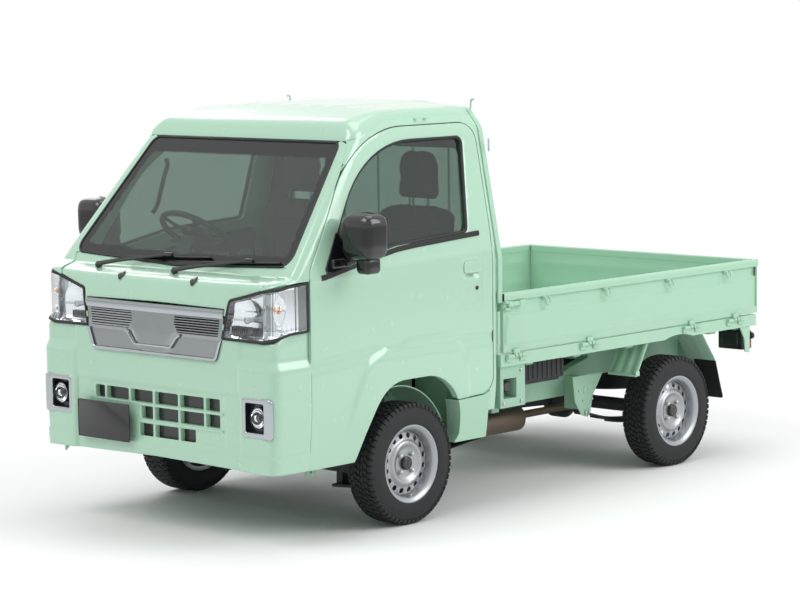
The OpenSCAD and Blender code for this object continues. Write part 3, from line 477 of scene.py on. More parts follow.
# ---- Trimmed surfaces ----
def depth_to(line: Array, at: Array) -> tuple[Array, Array]:
    """How far inside a closed line each point lies, negative outside, and the line's nearest point."""
    depth, near = np.empty(len(at)), np.empty((len(at), 2))
    ahead = np.roll(line, -1, 0) - line
    square = np.maximum((ahead ** 2).sum(1), 1e-12)
    rise = np.where(np.abs(ahead[:, 1]) < 1e-12, 1e-12, ahead[:, 1])
    for part in np.array_split(np.arange(len(at)), max(1, len(at) * len(line) // BATCH)):
        p = at[part]
        gap = p[:, None] - line
        t = np.clip((gap * ahead).sum(-1) / square, 0, 1)
        foot = line + t[..., None] * ahead
        reach = ((p[:, None] - foot) ** 2).sum(-1)
        best = reach.argmin(1)
        rows = np.arange(len(p))
        spans = (line[:, 1] > p[:, None, 1]) != (np.roll(line, -1, 0)[:, 1] > p[:, None, 1])
        crosses = spans & (p[:, None, 0] < line[:, 0] + gap[..., 1] * ahead[:, 0] / rise)
        sign = np.where(crosses.sum(1) % 2 == 1, 1.0, -1.0)
        depth[part] = sign * np.sqrt(reach[rows, best])
        near[part] = foot[rows, best]
    return depth, near


@dataclass
class Region:
    """Part of a surface's chart: inside one closed line and outside others."""

    outer: Array
    holes: list[Array] = field(default_factory=list)

    def measure(self, at: Array) -> tuple[Array, Array]:
        """How far inside the region each point lies, and the nearest point of its edge."""
        depth, near = depth_to(self.outer, at)
        for hole in self.holes:
            d, n = depth_to(hole, at)
            worse = -d < depth
            depth = np.where(worse, -d, depth)
            near = np.where(worse[:, None], n, near)
        return depth, near


def normals_of(points: Array, faces: list[Array]) -> Array:
    """Each point's normal: the mean of its faces' normals, weighted by their size."""
    total = np.zeros_like(points)
    for f in faces:
        cross = np.cross(points[f[:, 2]] - points[f[:, 0]], points[f[:, -1]] - points[f[:, 1]])
        for k in range(f.shape[1]):
            np.add.at(total, f[:, k], cross)
    return total / np.maximum(np.linalg.norm(total, axis=1, keepdims=True), 1e-9)


def trimmed(surface: Surface, region: Region, step: float, thick: float = 0.0, rim: float = 1.5,
            mark: Callable | None = None) -> Shape:
    """A panel cut from a surface: a grid whose points near the region's edge move onto it.

    Cells outside are left out and cells that the edge crosses are halved. With a thickness, the
    panel turns in at its edges with a round rim and is closed by the same grid, moved inwards.

    Args: surface: point (u, v) to place. region: what is kept. step: cell size. thick: the panel's
    thickness. rim: radius of its edges. mark: gives a "frit" value from each point's edge distance and v.
    Returns: the shape, its faces on the side where u, v and the outward normal are right-handed.
    """
    low, high = region.outer.min(0), region.outer.max(0)
    count = np.maximum(np.ceil((high - low) / step).astype(int), 1) + 1
    u, v = np.meshgrid(np.linspace(low[0], high[0], count[0]), np.linspace(low[1], high[1], count[1]), indexing="ij")
    at = np.stack([u.ravel(), v.ravel()], -1)
    depth, near = region.measure(at)
    close = np.abs(depth) < SNAP * step
    at = np.where(close[:, None], near, at)
    depth = np.where(close, 0.0, depth)
    quads = grid(np.dstack([u, v, u])).faces[0]
    d = depth[quads]
    flat = (d == 0).all(1)
    centre = region.measure(at[quads[flat]].mean(1))[0] if flat.any() else np.empty(0)
    whole = (d >= 0).all(1) & (d.max(1) > 0)
    whole[np.flatnonzero(flat)[centre > 0]] = True
    mixed = quads[(d.max(1) > 0) & (d.min(1) < 0)]
    m = depth[mixed]
    first = np.abs(m[:, 0]) + np.abs(m[:, 2]) <= np.abs(m[:, 1]) + np.abs(m[:, 3])
    halves = np.vstack([np.where(first[:, None], mixed[:, [0, 1, 2]], mixed[:, [0, 1, 3]]),
                        np.where(first[:, None], mixed[:, [0, 2, 3]], mixed[:, [1, 2, 3]])])
    h = depth[halves]
    halves = halves[(h >= 0).all(1) & (h.max(1) > 0)]
    used = np.unique(np.concatenate([quads[whole].ravel(), halves.ravel()]))
    again = np.zeros(len(at), int)
    again[used] = np.arange(len(used))
    faces = [f for f in (again[quads[whole]], again[halves]) if len(f)]
    points = surface(at[used, 0], at[used, 1])
    marks = {} if mark is None else {"frit": mark(depth[used], at[used, 1])}
    if thick == 0.0:
        return Shape(points, faces, marks)
    return shell(Shape(points, faces, marks), thick, rim)


def shell(skin: Shape, thick: float, rim: float) -> Shape:
    """Closes an open skin into a wall: a quarter-round rim at its edges, then a copy moved inwards."""
    points, faces = skin.points, skin.faces
    normal = normals_of(points, faces)
    n = len(points)
    edges = np.vstack([np.column_stack([f[:, k], np.roll(f, -1, 1)[:, k]]) for f in faces for k in range(f.shape[1])])
    border = edges[~np.isin(edges[:, 0] * n + edges[:, 1], edges[:, 1] * n + edges[:, 0])]
    along = points[border[:, 1]] - points[border[:, 0]]
    out = np.zeros_like(points)
    for k in (0, 1):
        np.add.at(out, border[:, k], np.cross(along, normal[border[:, k]]))
    out /= np.maximum(np.linalg.norm(out, axis=1, keepdims=True), 1e-9)
    rim = min(rim, thick * 0.5)
    rings = [points + out * rim * math.sin(a) - normal * rim * (1 - math.cos(a)) for a in (math.pi / 4, math.pi / 2)]
    inner = points + out * rim - normal * thick
    stack = [points, *rings, inner]
    strips = [np.column_stack([border[:, 1] + k * n, border[:, 0] + k * n, border[:, 0] + (k + 1) * n,
                               border[:, 1] + (k + 1) * n]) for k in range(3)]
    back = [f[:, ::-1] + 3 * n for f in faces]
    marks = {name: np.tile(values, 4) for name, values in skin.marks.items()}
    made = Shape(np.vstack(stack), faces + strips + back, marks)
    return tidy(made)


def tidy(shape: Shape) -> Shape:
    """The shape without the points that no face uses."""
    used = np.unique(np.concatenate([f.ravel() for f in shape.faces]))
    again = np.zeros(len(shape.points), int)
    again[used] = np.arange(len(used))
    return Shape(shape.points[used], [again[f] for f in shape.faces],
                 {name: values[used] for name, values in shape.marks.items()})


def smoothstep(low: float, high: float, x: Array) -> Array:
    """0 below low, 1 above high, and an S-curve between them."""
    t = np.clip((x - low) / (high - low), 0, 1)
    return t * t * (3 - 2 * t)


# ---- Places, from the frame ----
def corner_mm(node: str, which: int) -> Array:
    """The lowest (0) or highest (1) corner of a frame node, in millimetres."""
    return np.array(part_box(node)[which]) / MM


@dataclass(frozen=True)
class Places:
    """Driving places of the truck, read from its frame."""

    nose: float = float(corner_mm("front_bumper", 0)[1])
    tail: float = float(corner_mm("tail_lamps", 1)[1]) + 24.0
    half: float = float(corner_mm("cab_rear_wall", 1)[0])
    high: float = float(corner_mm("cab_roof", 1)[2])
    back: float = float(corner_mm("cab_rear_wall", 1)[1])
    deck: float = float(corner_mm("guard_frame", 0)[2]) + 5.7
    wheel: float = float(corner_mm("tyre_front_left", 1)[2] - corner_mm("tyre_front_left", 0)[2]) / 2
    front_axle: float = float(corner_mm("tyre_front_left", 1)[1] + corner_mm("tyre_front_left", 0)[1]) / 2
    rear_axle: float = float(corner_mm("tyre_rear_left", 1)[1] + corner_mm("tyre_rear_left", 0)[1]) / 2
    track: float = float(corner_mm("tyre_front_left", 1)[0] + corner_mm("tyre_front_left", 0)[0]) / 2


P = Places()


# ---- Studio ----


@dataclass(frozen=True)
class Ground(Finish):
    """The floor's paint, which the camera sees fade into the white backdrop away from the truck."""

    near: float = 2.3
    far: float = 4.2

    def shader(self, tree: bpy.types.NodeTree) -> bpy.types.NodeSocket:
        """Paint near the truck, and plain white past the far distance, in metres."""
        paint = super().shader(tree)
        place = add(tree, "ShaderNodeTexCoord").outputs["Object"]
        away = add(tree, "ShaderNodeVectorMath", {0: place}, operation="LENGTH").outputs["Value"]
        fade = add(tree, "ShaderNodeMapRange", {"Value": away, "From Min": self.near, "From Max": self.far},
                   interpolation_type="SMOOTHSTEP")
        seen = add(tree, "ShaderNodeMath", {0: fade.outputs[0], 1: add(
            tree, "ShaderNodeLightPath").outputs["Is Camera Ray"]}, operation="MULTIPLY")
        white = add(tree, "ShaderNodeEmission", {"Color": (1, 1, 1, 1), "Strength": 1.0}).outputs[0]
        return add(tree, "ShaderNodeMixShader", {0: seen.outputs[0], 1: paint, 2: white}).outputs[0]


@dataclass(frozen=True)
class Studio:
    """Floor, light and camera. Places are in metres here."""

    eye: tuple = (8.4755, -9.3938, 2.2455)
    target: tuple = (-0.3554, 0.2540, 0.8)
    roll: float = -0.757
    lens: float = 122.6
    floor_half: float = 40.0
    lamps: tuple = (((-1.5, -6.5, 7.5), 5.0, 300.0), ((6.5, 2.5, 5.0), 5.0, 300.0), ((-6.5, 2.0, 5.5), 4.0, 110.0),
                    ((0.5, 1.0, 8.0), 5.0, 130.0))

    def build(self) -> None:
        """Makes the camera, the lamps, the floor and the world."""
        self.camera()
        for k, (place, size, power) in enumerate(self.lamps):
            self.lamp(f"softbox_{k}", place, size, power)
        self.floor()
        self.world()
        bpy.context.scene.view_settings.view_transform = "Standard"

    def camera(self) -> None:
        """The camera, rolled about its line of sight."""
        eye, target = Vector(self.eye), Vector(self.target)
        ahead = (target - eye).normalized()
        right = ahead.cross(Vector((0, 0, 1))).normalized()
        up = right.cross(ahead)
        a = math.radians(self.roll)
        level, rise = math.cos(a) * right + math.sin(a) * up, math.cos(a) * up - math.sin(a) * right
        data = bpy.data.cameras.new("camera")
        data.lens = self.lens
        data.sensor_width = 36.0
        camera = placed("camera", data)
        turn = Matrix((level, rise, -ahead)).transposed().to_4x4()
        camera.matrix_world = Matrix.Translation(eye) @ turn
        bpy.context.scene.camera = camera

    def lamp(self, name: str, place: tuple, size: float, power: float) -> None:
        """A square softbox that looks at the truck."""
        data = bpy.data.lights.new(name, "AREA")
        data.size, data.energy = size, power
        sight = Vector((0, 0, self.target[2])) - Vector(place)
        lamp = placed(name, data)
        lamp.matrix_world = Matrix.Translation(place) @ sight.to_track_quat("-Z", "Y").to_matrix().to_4x4()

    def floor(self) -> None:
        """A wide pale floor."""
        w = self.floor_half
        corners = np.array([(-w, -w, 0), (w, -w, 0), (w, w, 0), (-w, w, 0)]) / MM
        floor = placed("floor", Shape(corners, [np.array([[0, 1, 2, 3]])]).mesh("floor"))
        floor.data.materials.append(Ground("matt_floor_paint", "#f6f6f6", 0.9, relief=0.0, mottle=0.0).material())

    def world(self) -> None:
        """Soft light from all round; the camera, mirrors and glass see it as white."""
        world = bpy.data.worlds.new("studio")
        bpy.context.scene.world = world
        world.use_nodes = True
        tree = world.node_tree
        tree.nodes.clear()
        path = add(tree, "ShaderNodeLightPath")
        either = add(tree, "ShaderNodeMath", {0: path.outputs["Is Camera Ray"],
                                              1: path.outputs["Is Transmission Ray"]}, operation="MAXIMUM")
        seen = add(tree, "ShaderNodeMath", {0: either.outputs[0], 1: path.outputs["Is Glossy Ray"]},
                   operation="MAXIMUM")
        strength = add(tree, "ShaderNodeMapRange", {"Value": seen.outputs[0], "To Min": 0.55, "To Max": 1.0})
        sky = add(tree, "ShaderNodeBackground", {"Color": (1, 1, 1, 1), "Strength": strength.outputs[0]})
        add(tree, "ShaderNodeOutputWorld", {"Surface": sky.outputs[0]})


# ---- Frame nodes that stay ----


@dataclass(frozen=True)
class Kept:
    """Frame nodes that show as they are, each with its finish."""

    finishes: tuple = (
        (BED, ("cab_floor", "firewall", "seat_platform", "wheel_houses", "cab_sills", "bed_deck", "guard_frame",
               "gate_left", "gate_right", "tailgate", "rear_mudguards")),
        (CHASSIS, ("frame_rails", "frame_crossmembers", "frame_brackets", "bed_crossbars", "bed_runners")),
        (BODY, ("front_bumper", "front_panel", "windscreen_pillars", "cab_roof", "cab_rear_wall", "door_left",
                "door_right")),
        (CAST, ("engine",)), (PIPE, ("exhaust",)),
        (TRIM, ("dashboard", "steering_column", "steering_wheel")),
        (IRON, ("fuel_tank", "propeller_shaft", "rear_axle", "rear_springs", "front_suspension", "steering_rack",
                "knuckle_left", "knuckle_right")),
        (RUBBER, ("spare_wheel", "tyre_front_left", "tyre_front_right", "tyre_rear_left", "tyre_rear_right")),
        (SILVER, ("rim_front_left", "rim_front_right", "rim_rear_left", "rim_rear_right")),
        (GRILLE, ("grille",)), (CHROME, ("fog_lamps",)), (LENS, ("headlamps",)),
        (GLASS, ("cab_glass", "door_glass_left", "door_glass_right")),
        (GLOSS, ("wipers", "mirror_left", "mirror_right", "number_plate")),
        (RED, ("tail_lamps",)), (CLOTH, ("seats",)))

    def build(self) -> None:
        """Gives each kept node its finish."""
        for finish, names in self.finishes:
            for name in names:
                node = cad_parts[name]
                node.data.materials.clear()
                node.data.materials.append(finish.material())


# ---- Wheels ----


@dataclass(frozen=True)
class Wheel:
    """One wheel: a tyre with a block tread on a pressed steel rim. Its shapes lie about the origin, +X outwards."""

    place: str
    side: int
    pitches: int = 58
    vents: int = 16
    vent_ring: float = 121.0
    vent: float = 13.5
    nut_ring: float = 50.0
    nuts: int = 4

    @property
    def body(self) -> str:
        """The body that the wheel turns with."""
        return f"{self.place}_wheel"

    def set_down(self, shape: Shape) -> Shape:
        """The shape moved to this wheel's axle end."""
        at = shape if self.side > 0 else shape.mirrored()
        y = P.front_axle if self.place.startswith("front") else P.rear_axle
        return at.shifted(self.side * P.track, y, P.wheel)

    def build(self) -> None:
        """Makes the wheel's pieces."""
        self.set_down(self.carcass() + self.tread()).build(
            f"tyre_{self.place}_moulded", RUBBER, self.body, (f"tyre_{self.place}",), "tyre_rubber", smooth=32)
        self.set_down(self.barrel() + self.disc() + self.drum()).build(
            f"rim_{self.place}_pressed", SILVER, self.body, (f"rim_{self.place}",), "rim_steel", smooth=50)
        self.set_down(self.wheel_nuts()).build(f"wheel_nuts_{self.place}", BOLT, self.body)
        self.set_down(self.hub_cap()).build(f"hub_cap_{self.place}", GLOSS, self.body)

    def carcass(self) -> Shape:
        """Sidewalls and tread base: one outline turned about the axle, with fine rings on the sidewall."""
        r = P.wheel
        half = [(57, 154), (62, 158), (66, 166), (70, 171), (71.6, 174), (71.2, 176), (72, 178), (72.4, 190),
                (72.1, 191.5), (72.4, 193), (72.2, 214), (71.8, 215), (72, 216.5), (71, 226), (70, 228), (70.4, 230),
                (68, 240), (64, r - 13), (58, r - 9), (40, r - 7.5), (0, r - 7)]
        outline = [(-x, q) for x, q in half] + [(x, q) for x, q in half[-2::-1]]
        return lathe(outline, (0, 0, 0), count=128)

    def tread(self) -> Shape:
        """Blocks in seven rows: each a patch across the crown and along it, with sides down to the base.

        A block's edge runs slantwise, its place along the tread shifting with its place across it.
        """
        rows = [(-6.5, 6.5, 0.0, 9), (9.5, 25, 0.5, -8), (28, 46, 0.1, 8), (49, 70.5, 0.6, 3)]
        rows += [(-hi, -lo, shift + 0.25, -lean) for lo, hi, shift, lean in rows[1:]]
        return joined([self.row(*row) for row in rows])

    def row(self, low: float, high: float, shift: float, lean: float) -> Shape:
        """One ring of blocks between two places across the tread."""
        r, pitch = P.wheel, 2 * np.pi / self.pitches
        x = np.linspace(low, high, 4)
        crown = r - 0.00045 * x ** 2 - 0.045 * np.maximum(np.abs(x) - 58, 0) ** 2.15
        along = np.array([-0.37, 0.02, 0.06, 0.37])
        a = (np.arange(self.pitches)[:, None, None] + shift + along[None, None]) * pitch
        a = a + (x[None, :, None] - low) / (high - low) * lean / r
        levels = np.stack([crown[:, None] + 0 * along, crown[:, None] - 8 + 0 * along], -1)
        q = np.broadcast_to(levels, (self.pitches, 4, 4, 2))
        a = np.broadcast_to(a[..., None], q.shape)
        points = np.stack([np.broadcast_to(x[None, :, None, None], q.shape), q * np.cos(a), q * np.sin(a)], -1)
        n = np.arange(32).reshape(4, 4, 2)
        top = np.stack([n[:-1, :-1, 0], n[1:, :-1, 0], n[1:, 1:, 0], n[:-1, 1:, 0]], -1).reshape(-1, 4)
        edge = np.concatenate([n[:, 0], n[-1, 1:], n[-2::-1, -1], n[0, -2:0:-1]])
        after = np.roll(edge, -1, 0)
        sides = np.stack([edge[:, 0], edge[:, 1], after[:, 1], after[:, 0]], -1)
        one = np.vstack([top, sides])
        faces = (one[None] + 32 * np.arange(self.pitches)[:, None, None]).reshape(-1, 4)
        return Shape(points.reshape(-1, 3), [faces])

    def barrel(self) -> Shape:
        """The rim's ring: flange, bead seat and drop centre, turned about the axle."""
        outline = [(68, 163), (68.2, 171), (66.5, 173), (63.5, 171), (62.5, 165), (61.5, 153), (56, 150),
                   (30, 148.5), (12, 143), (-30, 139), (-52, 146), (-61.5, 153), (-62.5, 166), (-66.5, 172),
                   (-68, 168), (-66, 150), (-50, 141), (-30, 134), (10, 138), (26, 143.5), (52, 145), (60, 150),
                   (64, 158)]
        return lathe(outline + outline[:1], (0, 0, 0), count=96)

    def disc_depth(self, r: Array) -> Array:
        """How far out the disc stands at each radius: nut face, raised ring, conical vent band, rim."""
        at = [0, 30, 36, 60, 72, 82, 90, 96, 104, 132, 140, 146]
        out = [30, 30, 30, 30, 35, 43, 43.5, 40, 31, 26, 20, 12]
        return np.interp(r, at, out) + 0.6 * np.exp(-((r - 90) / 3) ** 2)

    def disc(self) -> Shape:
        """The pressed disc, its vents cut through."""
        a = np.linspace(0, 2 * np.pi, 120, endpoint=False)
        edge = np.stack([146 * np.cos(a), 146 * np.sin(a)], -1)
        turn = (np.arange(self.vents) + 0.5) * 2 * np.pi / self.vents
        hole = circle(self.vent, 28)
        holes = [hole + self.vent_ring * np.array([math.cos(t), math.sin(t)]) for t in turn]

        def surface(u: Array, v: Array) -> Array:
            """Height over the wheel's plane as a function of the distance from the axle."""
            return np.stack([self.disc_depth(np.hypot(u, v)), u, v], -1)

        return trimmed(surface, Region(edge, holes), 3.6, thick=3.0, rim=1.2)

    def drum(self) -> Shape:
        """The brake drum behind the disc, turned about the axle."""
        return lathe([(-30, 0), (-30, 84), (-26, 88), (8, 88), (12, 84), (12, 0)], (0, 0, 0), count=64)

    def wheel_nuts(self) -> Shape:
        """Hexagon nuts with a turned cone end, and the valve."""
        hexagon = circle(10.5, 6)
        nut = prism(hexagon, "yz", 30, 43, 1.2) + lathe([(43, 8.5), (46, 7), (48, 4.5), (48.6, 0)], (0, 0, 0), count=20)
        turn = (np.arange(self.nuts) + 0.5) * 360 / self.nuts
        ring = [nut.shifted(0, self.nut_ring, 0).turned("X", t) for t in turn]
        valve = tube([(40, 0, -141), (52, 0, -139), (62, 0, -136)], 3.2, 8, up=(0, 1, 0), sides=10)
        return joined([*ring, valve])

    def hub_cap(self) -> Shape:
        """The black cap over the spindle: a cup with a domed face."""
        outline = [(29, 31), (38, 30), (44, 28.5), (47, 26), (48, 23), (47, 20), (49.5, 8), (50, 0)]
        return lathe(outline, (0, 0, 0), count=48)


# ---- Cab skin ----
class Field:
    """Depth inside a rounded outline, held on a fine lattice and read between its points."""

    def __init__(self, corners: list, step: float = 3.0) -> None:
        """Args: corners: the outline. step: lattice spacing."""
        line = bezier_corners(corners, 3.0)
        self.low, self.step = line.min(0) - 60, step
        size = np.ceil((line.max(0) + 60 - self.low) / step).astype(int) + 1
        u, v = np.meshgrid(*[self.low[k] + step * np.arange(size[k]) for k in (0, 1)], indexing="ij")
        self.depth = depth_to(line, np.stack([u.ravel(), v.ravel()], -1))[0].reshape(size)

    def __call__(self, u: Array, v: Array) -> Array:
        """The depth at each place, blended from the four lattice points around it."""
        a = np.clip((u - self.low[0]) / self.step, 0, self.depth.shape[0] - 1.001)
        b = np.clip((v - self.low[1]) / self.step, 0, self.depth.shape[1] - 1.001)
        i, j = a.astype(int), b.astype(int)
        s, t = a - i, b - j
        d = self.depth
        return ((1 - s) * ((1 - t) * d[i, j] + t * d[i, j + 1])
                + s * ((1 - t) * d[i + 1, j] + t * d[i + 1, j + 1]))


class CabSkin:
    """The cab's outer skin: where side, front and plan outlines all end, with rounded edges between them."""

    edge = 34.0

    def __init__(self) -> None:
        """Draws the three outlines that the frame's cab has."""
        n, b, w, h = P.nose, P.back, P.half, P.high
        self.side = Field([(n, 285, 25), (b, 285, 0), (b, h + 4, 60), (n + 880, h + 2, 300), (n + 625, h - 65, 90),
                           (n + 590, h - 140, 0), (n + 137, h - 677, 20), (n + 40, h - 707, 40), (n + 5, 985, 30),
                           (n, 860, 0)])
        self.front = Field(self.front_outline())
        high = [(0, n, 0), (430, n + 16, 300), (w - 18, n + 48, 70), (w, n + 212, 120), (w, b + 90, 0)]
        low = [(0, n, 0), (300, n + 4, 300), (w - 12, n + 14, 58), (w, n + 212, 120), (w, b + 90, 0)]
        self.plan_high = Field(high + [(-x, y, r) for x, y, r in high[:0:-1]])
        self.plan_low = Field(low + [(-x, y, r) for x, y, r in low[:0:-1]])

    @staticmethod
    def front_outline() -> list:
        """The cab's outline in front view."""
        w, h = P.half, P.high
        return both_halves([(w - 64, 100, 0), (w, 570, 200), (w, h - 690, 140), (w - 111, h - 110, 60),
                            (w - 185, h - 26, 60), (260, h, 0)])

    def depth(self, p: Array) -> Array:
        """How deep each point lies under the skin; the three depths meet in an arc at the edges."""
        x, y, z = p[..., 0], p[..., 1], p[..., 2]
        high = smoothstep(845, 905, z)
        plan = (1 - high) * self.plan_low(x, y) + high * self.plan_high(x, y)
        short = [np.maximum(self.edge - d, 0) for d in (self.side(y, z), self.front(x, z), plan)]
        return self.edge - np.sqrt(short[0] ** 2 + short[1] ** 2 + short[2] ** 2)

    def hit(self, start: Array, way: Array, reach: float = 1100.0) -> Array:
        """Where rays from inside meet the skin, by halving."""
        low, high = np.zeros(start.shape[:-1]), np.full(start.shape[:-1], reach)
        for _ in range(20):
            mid = (low + high) / 2
            inside = self.depth(start + mid[..., None] * way) > 0
            low, high = np.where(inside, mid, low), np.where(inside, high, mid)
        return start + low[..., None] * way


SKIN = CabSkin()


@dataclass
class Chart:
    """A way to name places on the cab's skin by two numbers: a plane inside it, with rays straight out."""

    origin: tuple
    across: tuple
    rise: tuple
    relief: Callable[[Array, Array], Array] | None = None
    lift: float = 0.0

    def __post_init__(self) -> None:
        """Works out the rays' direction."""
        self.o, self.a, self.b = (np.array(k, float) for k in (self.origin, self.across, self.rise))
        self.a /= np.linalg.norm(self.a)
        self.b /= np.linalg.norm(self.b)
        self.out = np.cross(self.a, self.b)

    def ray(self, u: Array, v: Array) -> tuple[Array, Array]:
        """Start and direction of the ray at each place."""
        start = self.o + u[..., None] * self.a + v[..., None] * self.b
        return start, np.broadcast_to(self.out, start.shape)

    def bare(self, u: Array, v: Array) -> Array:
        """The skin itself at each place."""
        return SKIN.hit(*self.ray(u, v))

    def __call__(self, u: Array, v: Array) -> Array:
        """The skin with the chart's relief and lift, both along the skin's normal."""
        here = self.bare(u, v)
        if self.relief is None and self.lift == 0.0:
            return here
        gap = 2.0
        normal = np.cross(self.bare(u + gap, v) - self.bare(u - gap, v),
                          self.bare(u, v + gap) - self.bare(u, v - gap))
        normal /= np.maximum(np.linalg.norm(normal, axis=-1, keepdims=True), 1e-9)
        by = self.lift + (0 if self.relief is None else self.relief(u, v))
        return here + normal * np.broadcast_to(by, u.shape)[..., None]

    def at(self, u: float, v: float) -> Array:
        """The surface's point at one place."""
        return self(np.array([u], float), np.array([v], float))[0]

    def place(self, points: Array) -> Array:
        """The two numbers of points of the skin."""
        return np.stack([(points - self.o) @ self.a, (points - self.o) @ self.b], -1)

    def lifted(self, by: float, relief: Callable | None = None) -> "Chart":
        """The same chart, standing off the skin by a distance."""
        return Chart(self.origin, self.across, self.rise, relief, by)


@dataclass
class Wrap(Chart):
    """A chart that goes round the nose: straight across, then a fan at the corner, then along the side."""

    corner: float = 617.0
    radius: float = 120.0

    def ray(self, u: Array, v: Array) -> tuple[Array, Array]:
        """Rays that turn from forward to sideways across the fan."""
        s, sign = np.abs(u), np.sign(u)
        turn = np.clip((s - self.corner) / self.radius, 0, np.pi / 2)
        past = np.maximum(s - self.corner - self.radius * np.pi / 2, 0)
        x = np.minimum(s, self.corner)
        start = np.stack([sign * x, P.nose + self.radius + past, v], -1)
        return start, np.stack([sign * np.sin(turn), -np.cos(turn), np.zeros_like(s)], -1)

    def lifted(self, by: float, relief: Callable | None = None) -> "Wrap":
        """The same chart, standing off the skin by a distance."""
        return Wrap(self.origin, self.across, self.rise, relief, by)


SIDE = Chart((350, 0, 0), (0, 1, 0), (0, 0, 1))
FRONT = Chart((0, P.nose + 760, 0), (1, 0, 0), (0, 0, 1))
REAR = Chart((0, P.back - 300, 0), (-1, 0, 0), (0, 0, 1))
HOOD = Chart((0, P.nose + 420, 850), (1, 0, 0), (0, 137, 151))
ROOF = Chart((0, 0, 1560), (1, 0, 0), (0, 1, 0))
NOSE = Wrap((0, 0, 0), (1, 0, 0), (0, 0, 1))


@dataclass(frozen=True)
class Seams:
    """Outlines of the cab's panels, as corners (u, v, radius) in side view (y, z) or front view (x, z)."""

    gap: float = 5.5
    front_edge: float = P.nose + 227
    rear_edge: float = P.back - 41
    lamp_foot: float = 861.0

    def door(self) -> list:
        """The door, without the wheel arch."""
        f, r, h = self.front_edge, self.rear_edge, P.high
        return [(f, 314, 8), (r - 250, 314, 0), (r - 250, 510, 0), (r, 516, 75), (r, h - 97, 88),
                (f + 390, h - 97, 560), (f, h - 659, 90)]

    def arch(self) -> list:
        """The front wheel arch."""
        a = P.front_axle
        return [(a - 378, 230, 0), (a + 225, 230, 0), (a + 324, 352, 24), (a + 324, 636, 232), (a - 176, 636, 205)]

    def window(self) -> list:
        """The door's window."""
        f, r, h = self.front_edge, self.rear_edge, P.high
        return [(f + 80, h - 679, 14), (f + 536, h - 593, 200), (r - 143, h - 568, 26), (r - 85, h - 150, 34),
                (f + 424, h - 150, 540)]

    def windscreen(self) -> list:
        """The windscreen in front view."""
        w, h = P.half, P.high
        return both_halves([(0.01, h - 664, 0), (w - 72, h - 638, 45), (w - 165, h - 150, 40)])

    def rear_window(self) -> list:
        """The window behind the seats, in front view."""
        return both_halves([(P.half - 190, 1205, 50), (P.half - 215, P.high - 205, 50)])

    def grille(self) -> list:
        """The grille in front view."""
        return both_halves([(380, 768, 20), (411, 850, 10), (428, 984, 8)])

    def lamp(self) -> list:
        """A headlamp, round the nose from the grille to the door."""
        end = 904.0
        return [(414, self.lamp_foot, 10), (650, self.lamp_foot, 60), (800, 889, 90), (end, 893, 4),
                (end, 1100, 6), (800, 1093, 60), (617, 1069, 200), (449, 1026, 12)]

    def bumper(self) -> list:
        """The bumper and lower face, round the nose from door to door and up to the lamps and the grille."""
        end, foot = 908.0, self.lamp_foot - 3
        return both_halves([(0.01, 334, 0), (520, 324, 200), (end, 318, 6), (end, 890, 0), (800, 886, 90),
                            (650, foot, 60), (416, foot, 0), (413, 849, 12), (383, 765, 22)])


SEAMS = Seams()


def edge_path(chart: Chart, corners: list, step: float = 6.0) -> Array:
    """The seam through corners, laid on a chart's surface."""
    line = bezier_corners(corners, 4.0)
    ahead = np.roll(line, -1, 0) - line
    parts = [a + d * np.linspace(0, 1, max(1, int(np.hypot(*d) // step)), endpoint=False)[:, None]
             for a, d in zip(line, ahead)]
    dense = np.vstack(parts)
    return chart(dense[:, 0], dense[:, 1])


def along(chart: Chart, start: tuple, end: tuple, count: int = 24) -> Array:
    """A line on the skin between two places of a chart."""
    t = np.linspace(0, 1, count)[:, None]
    at = np.array(start) * (1 - t) + np.array(end) * t
    return chart(at[:, 0], at[:, 1])


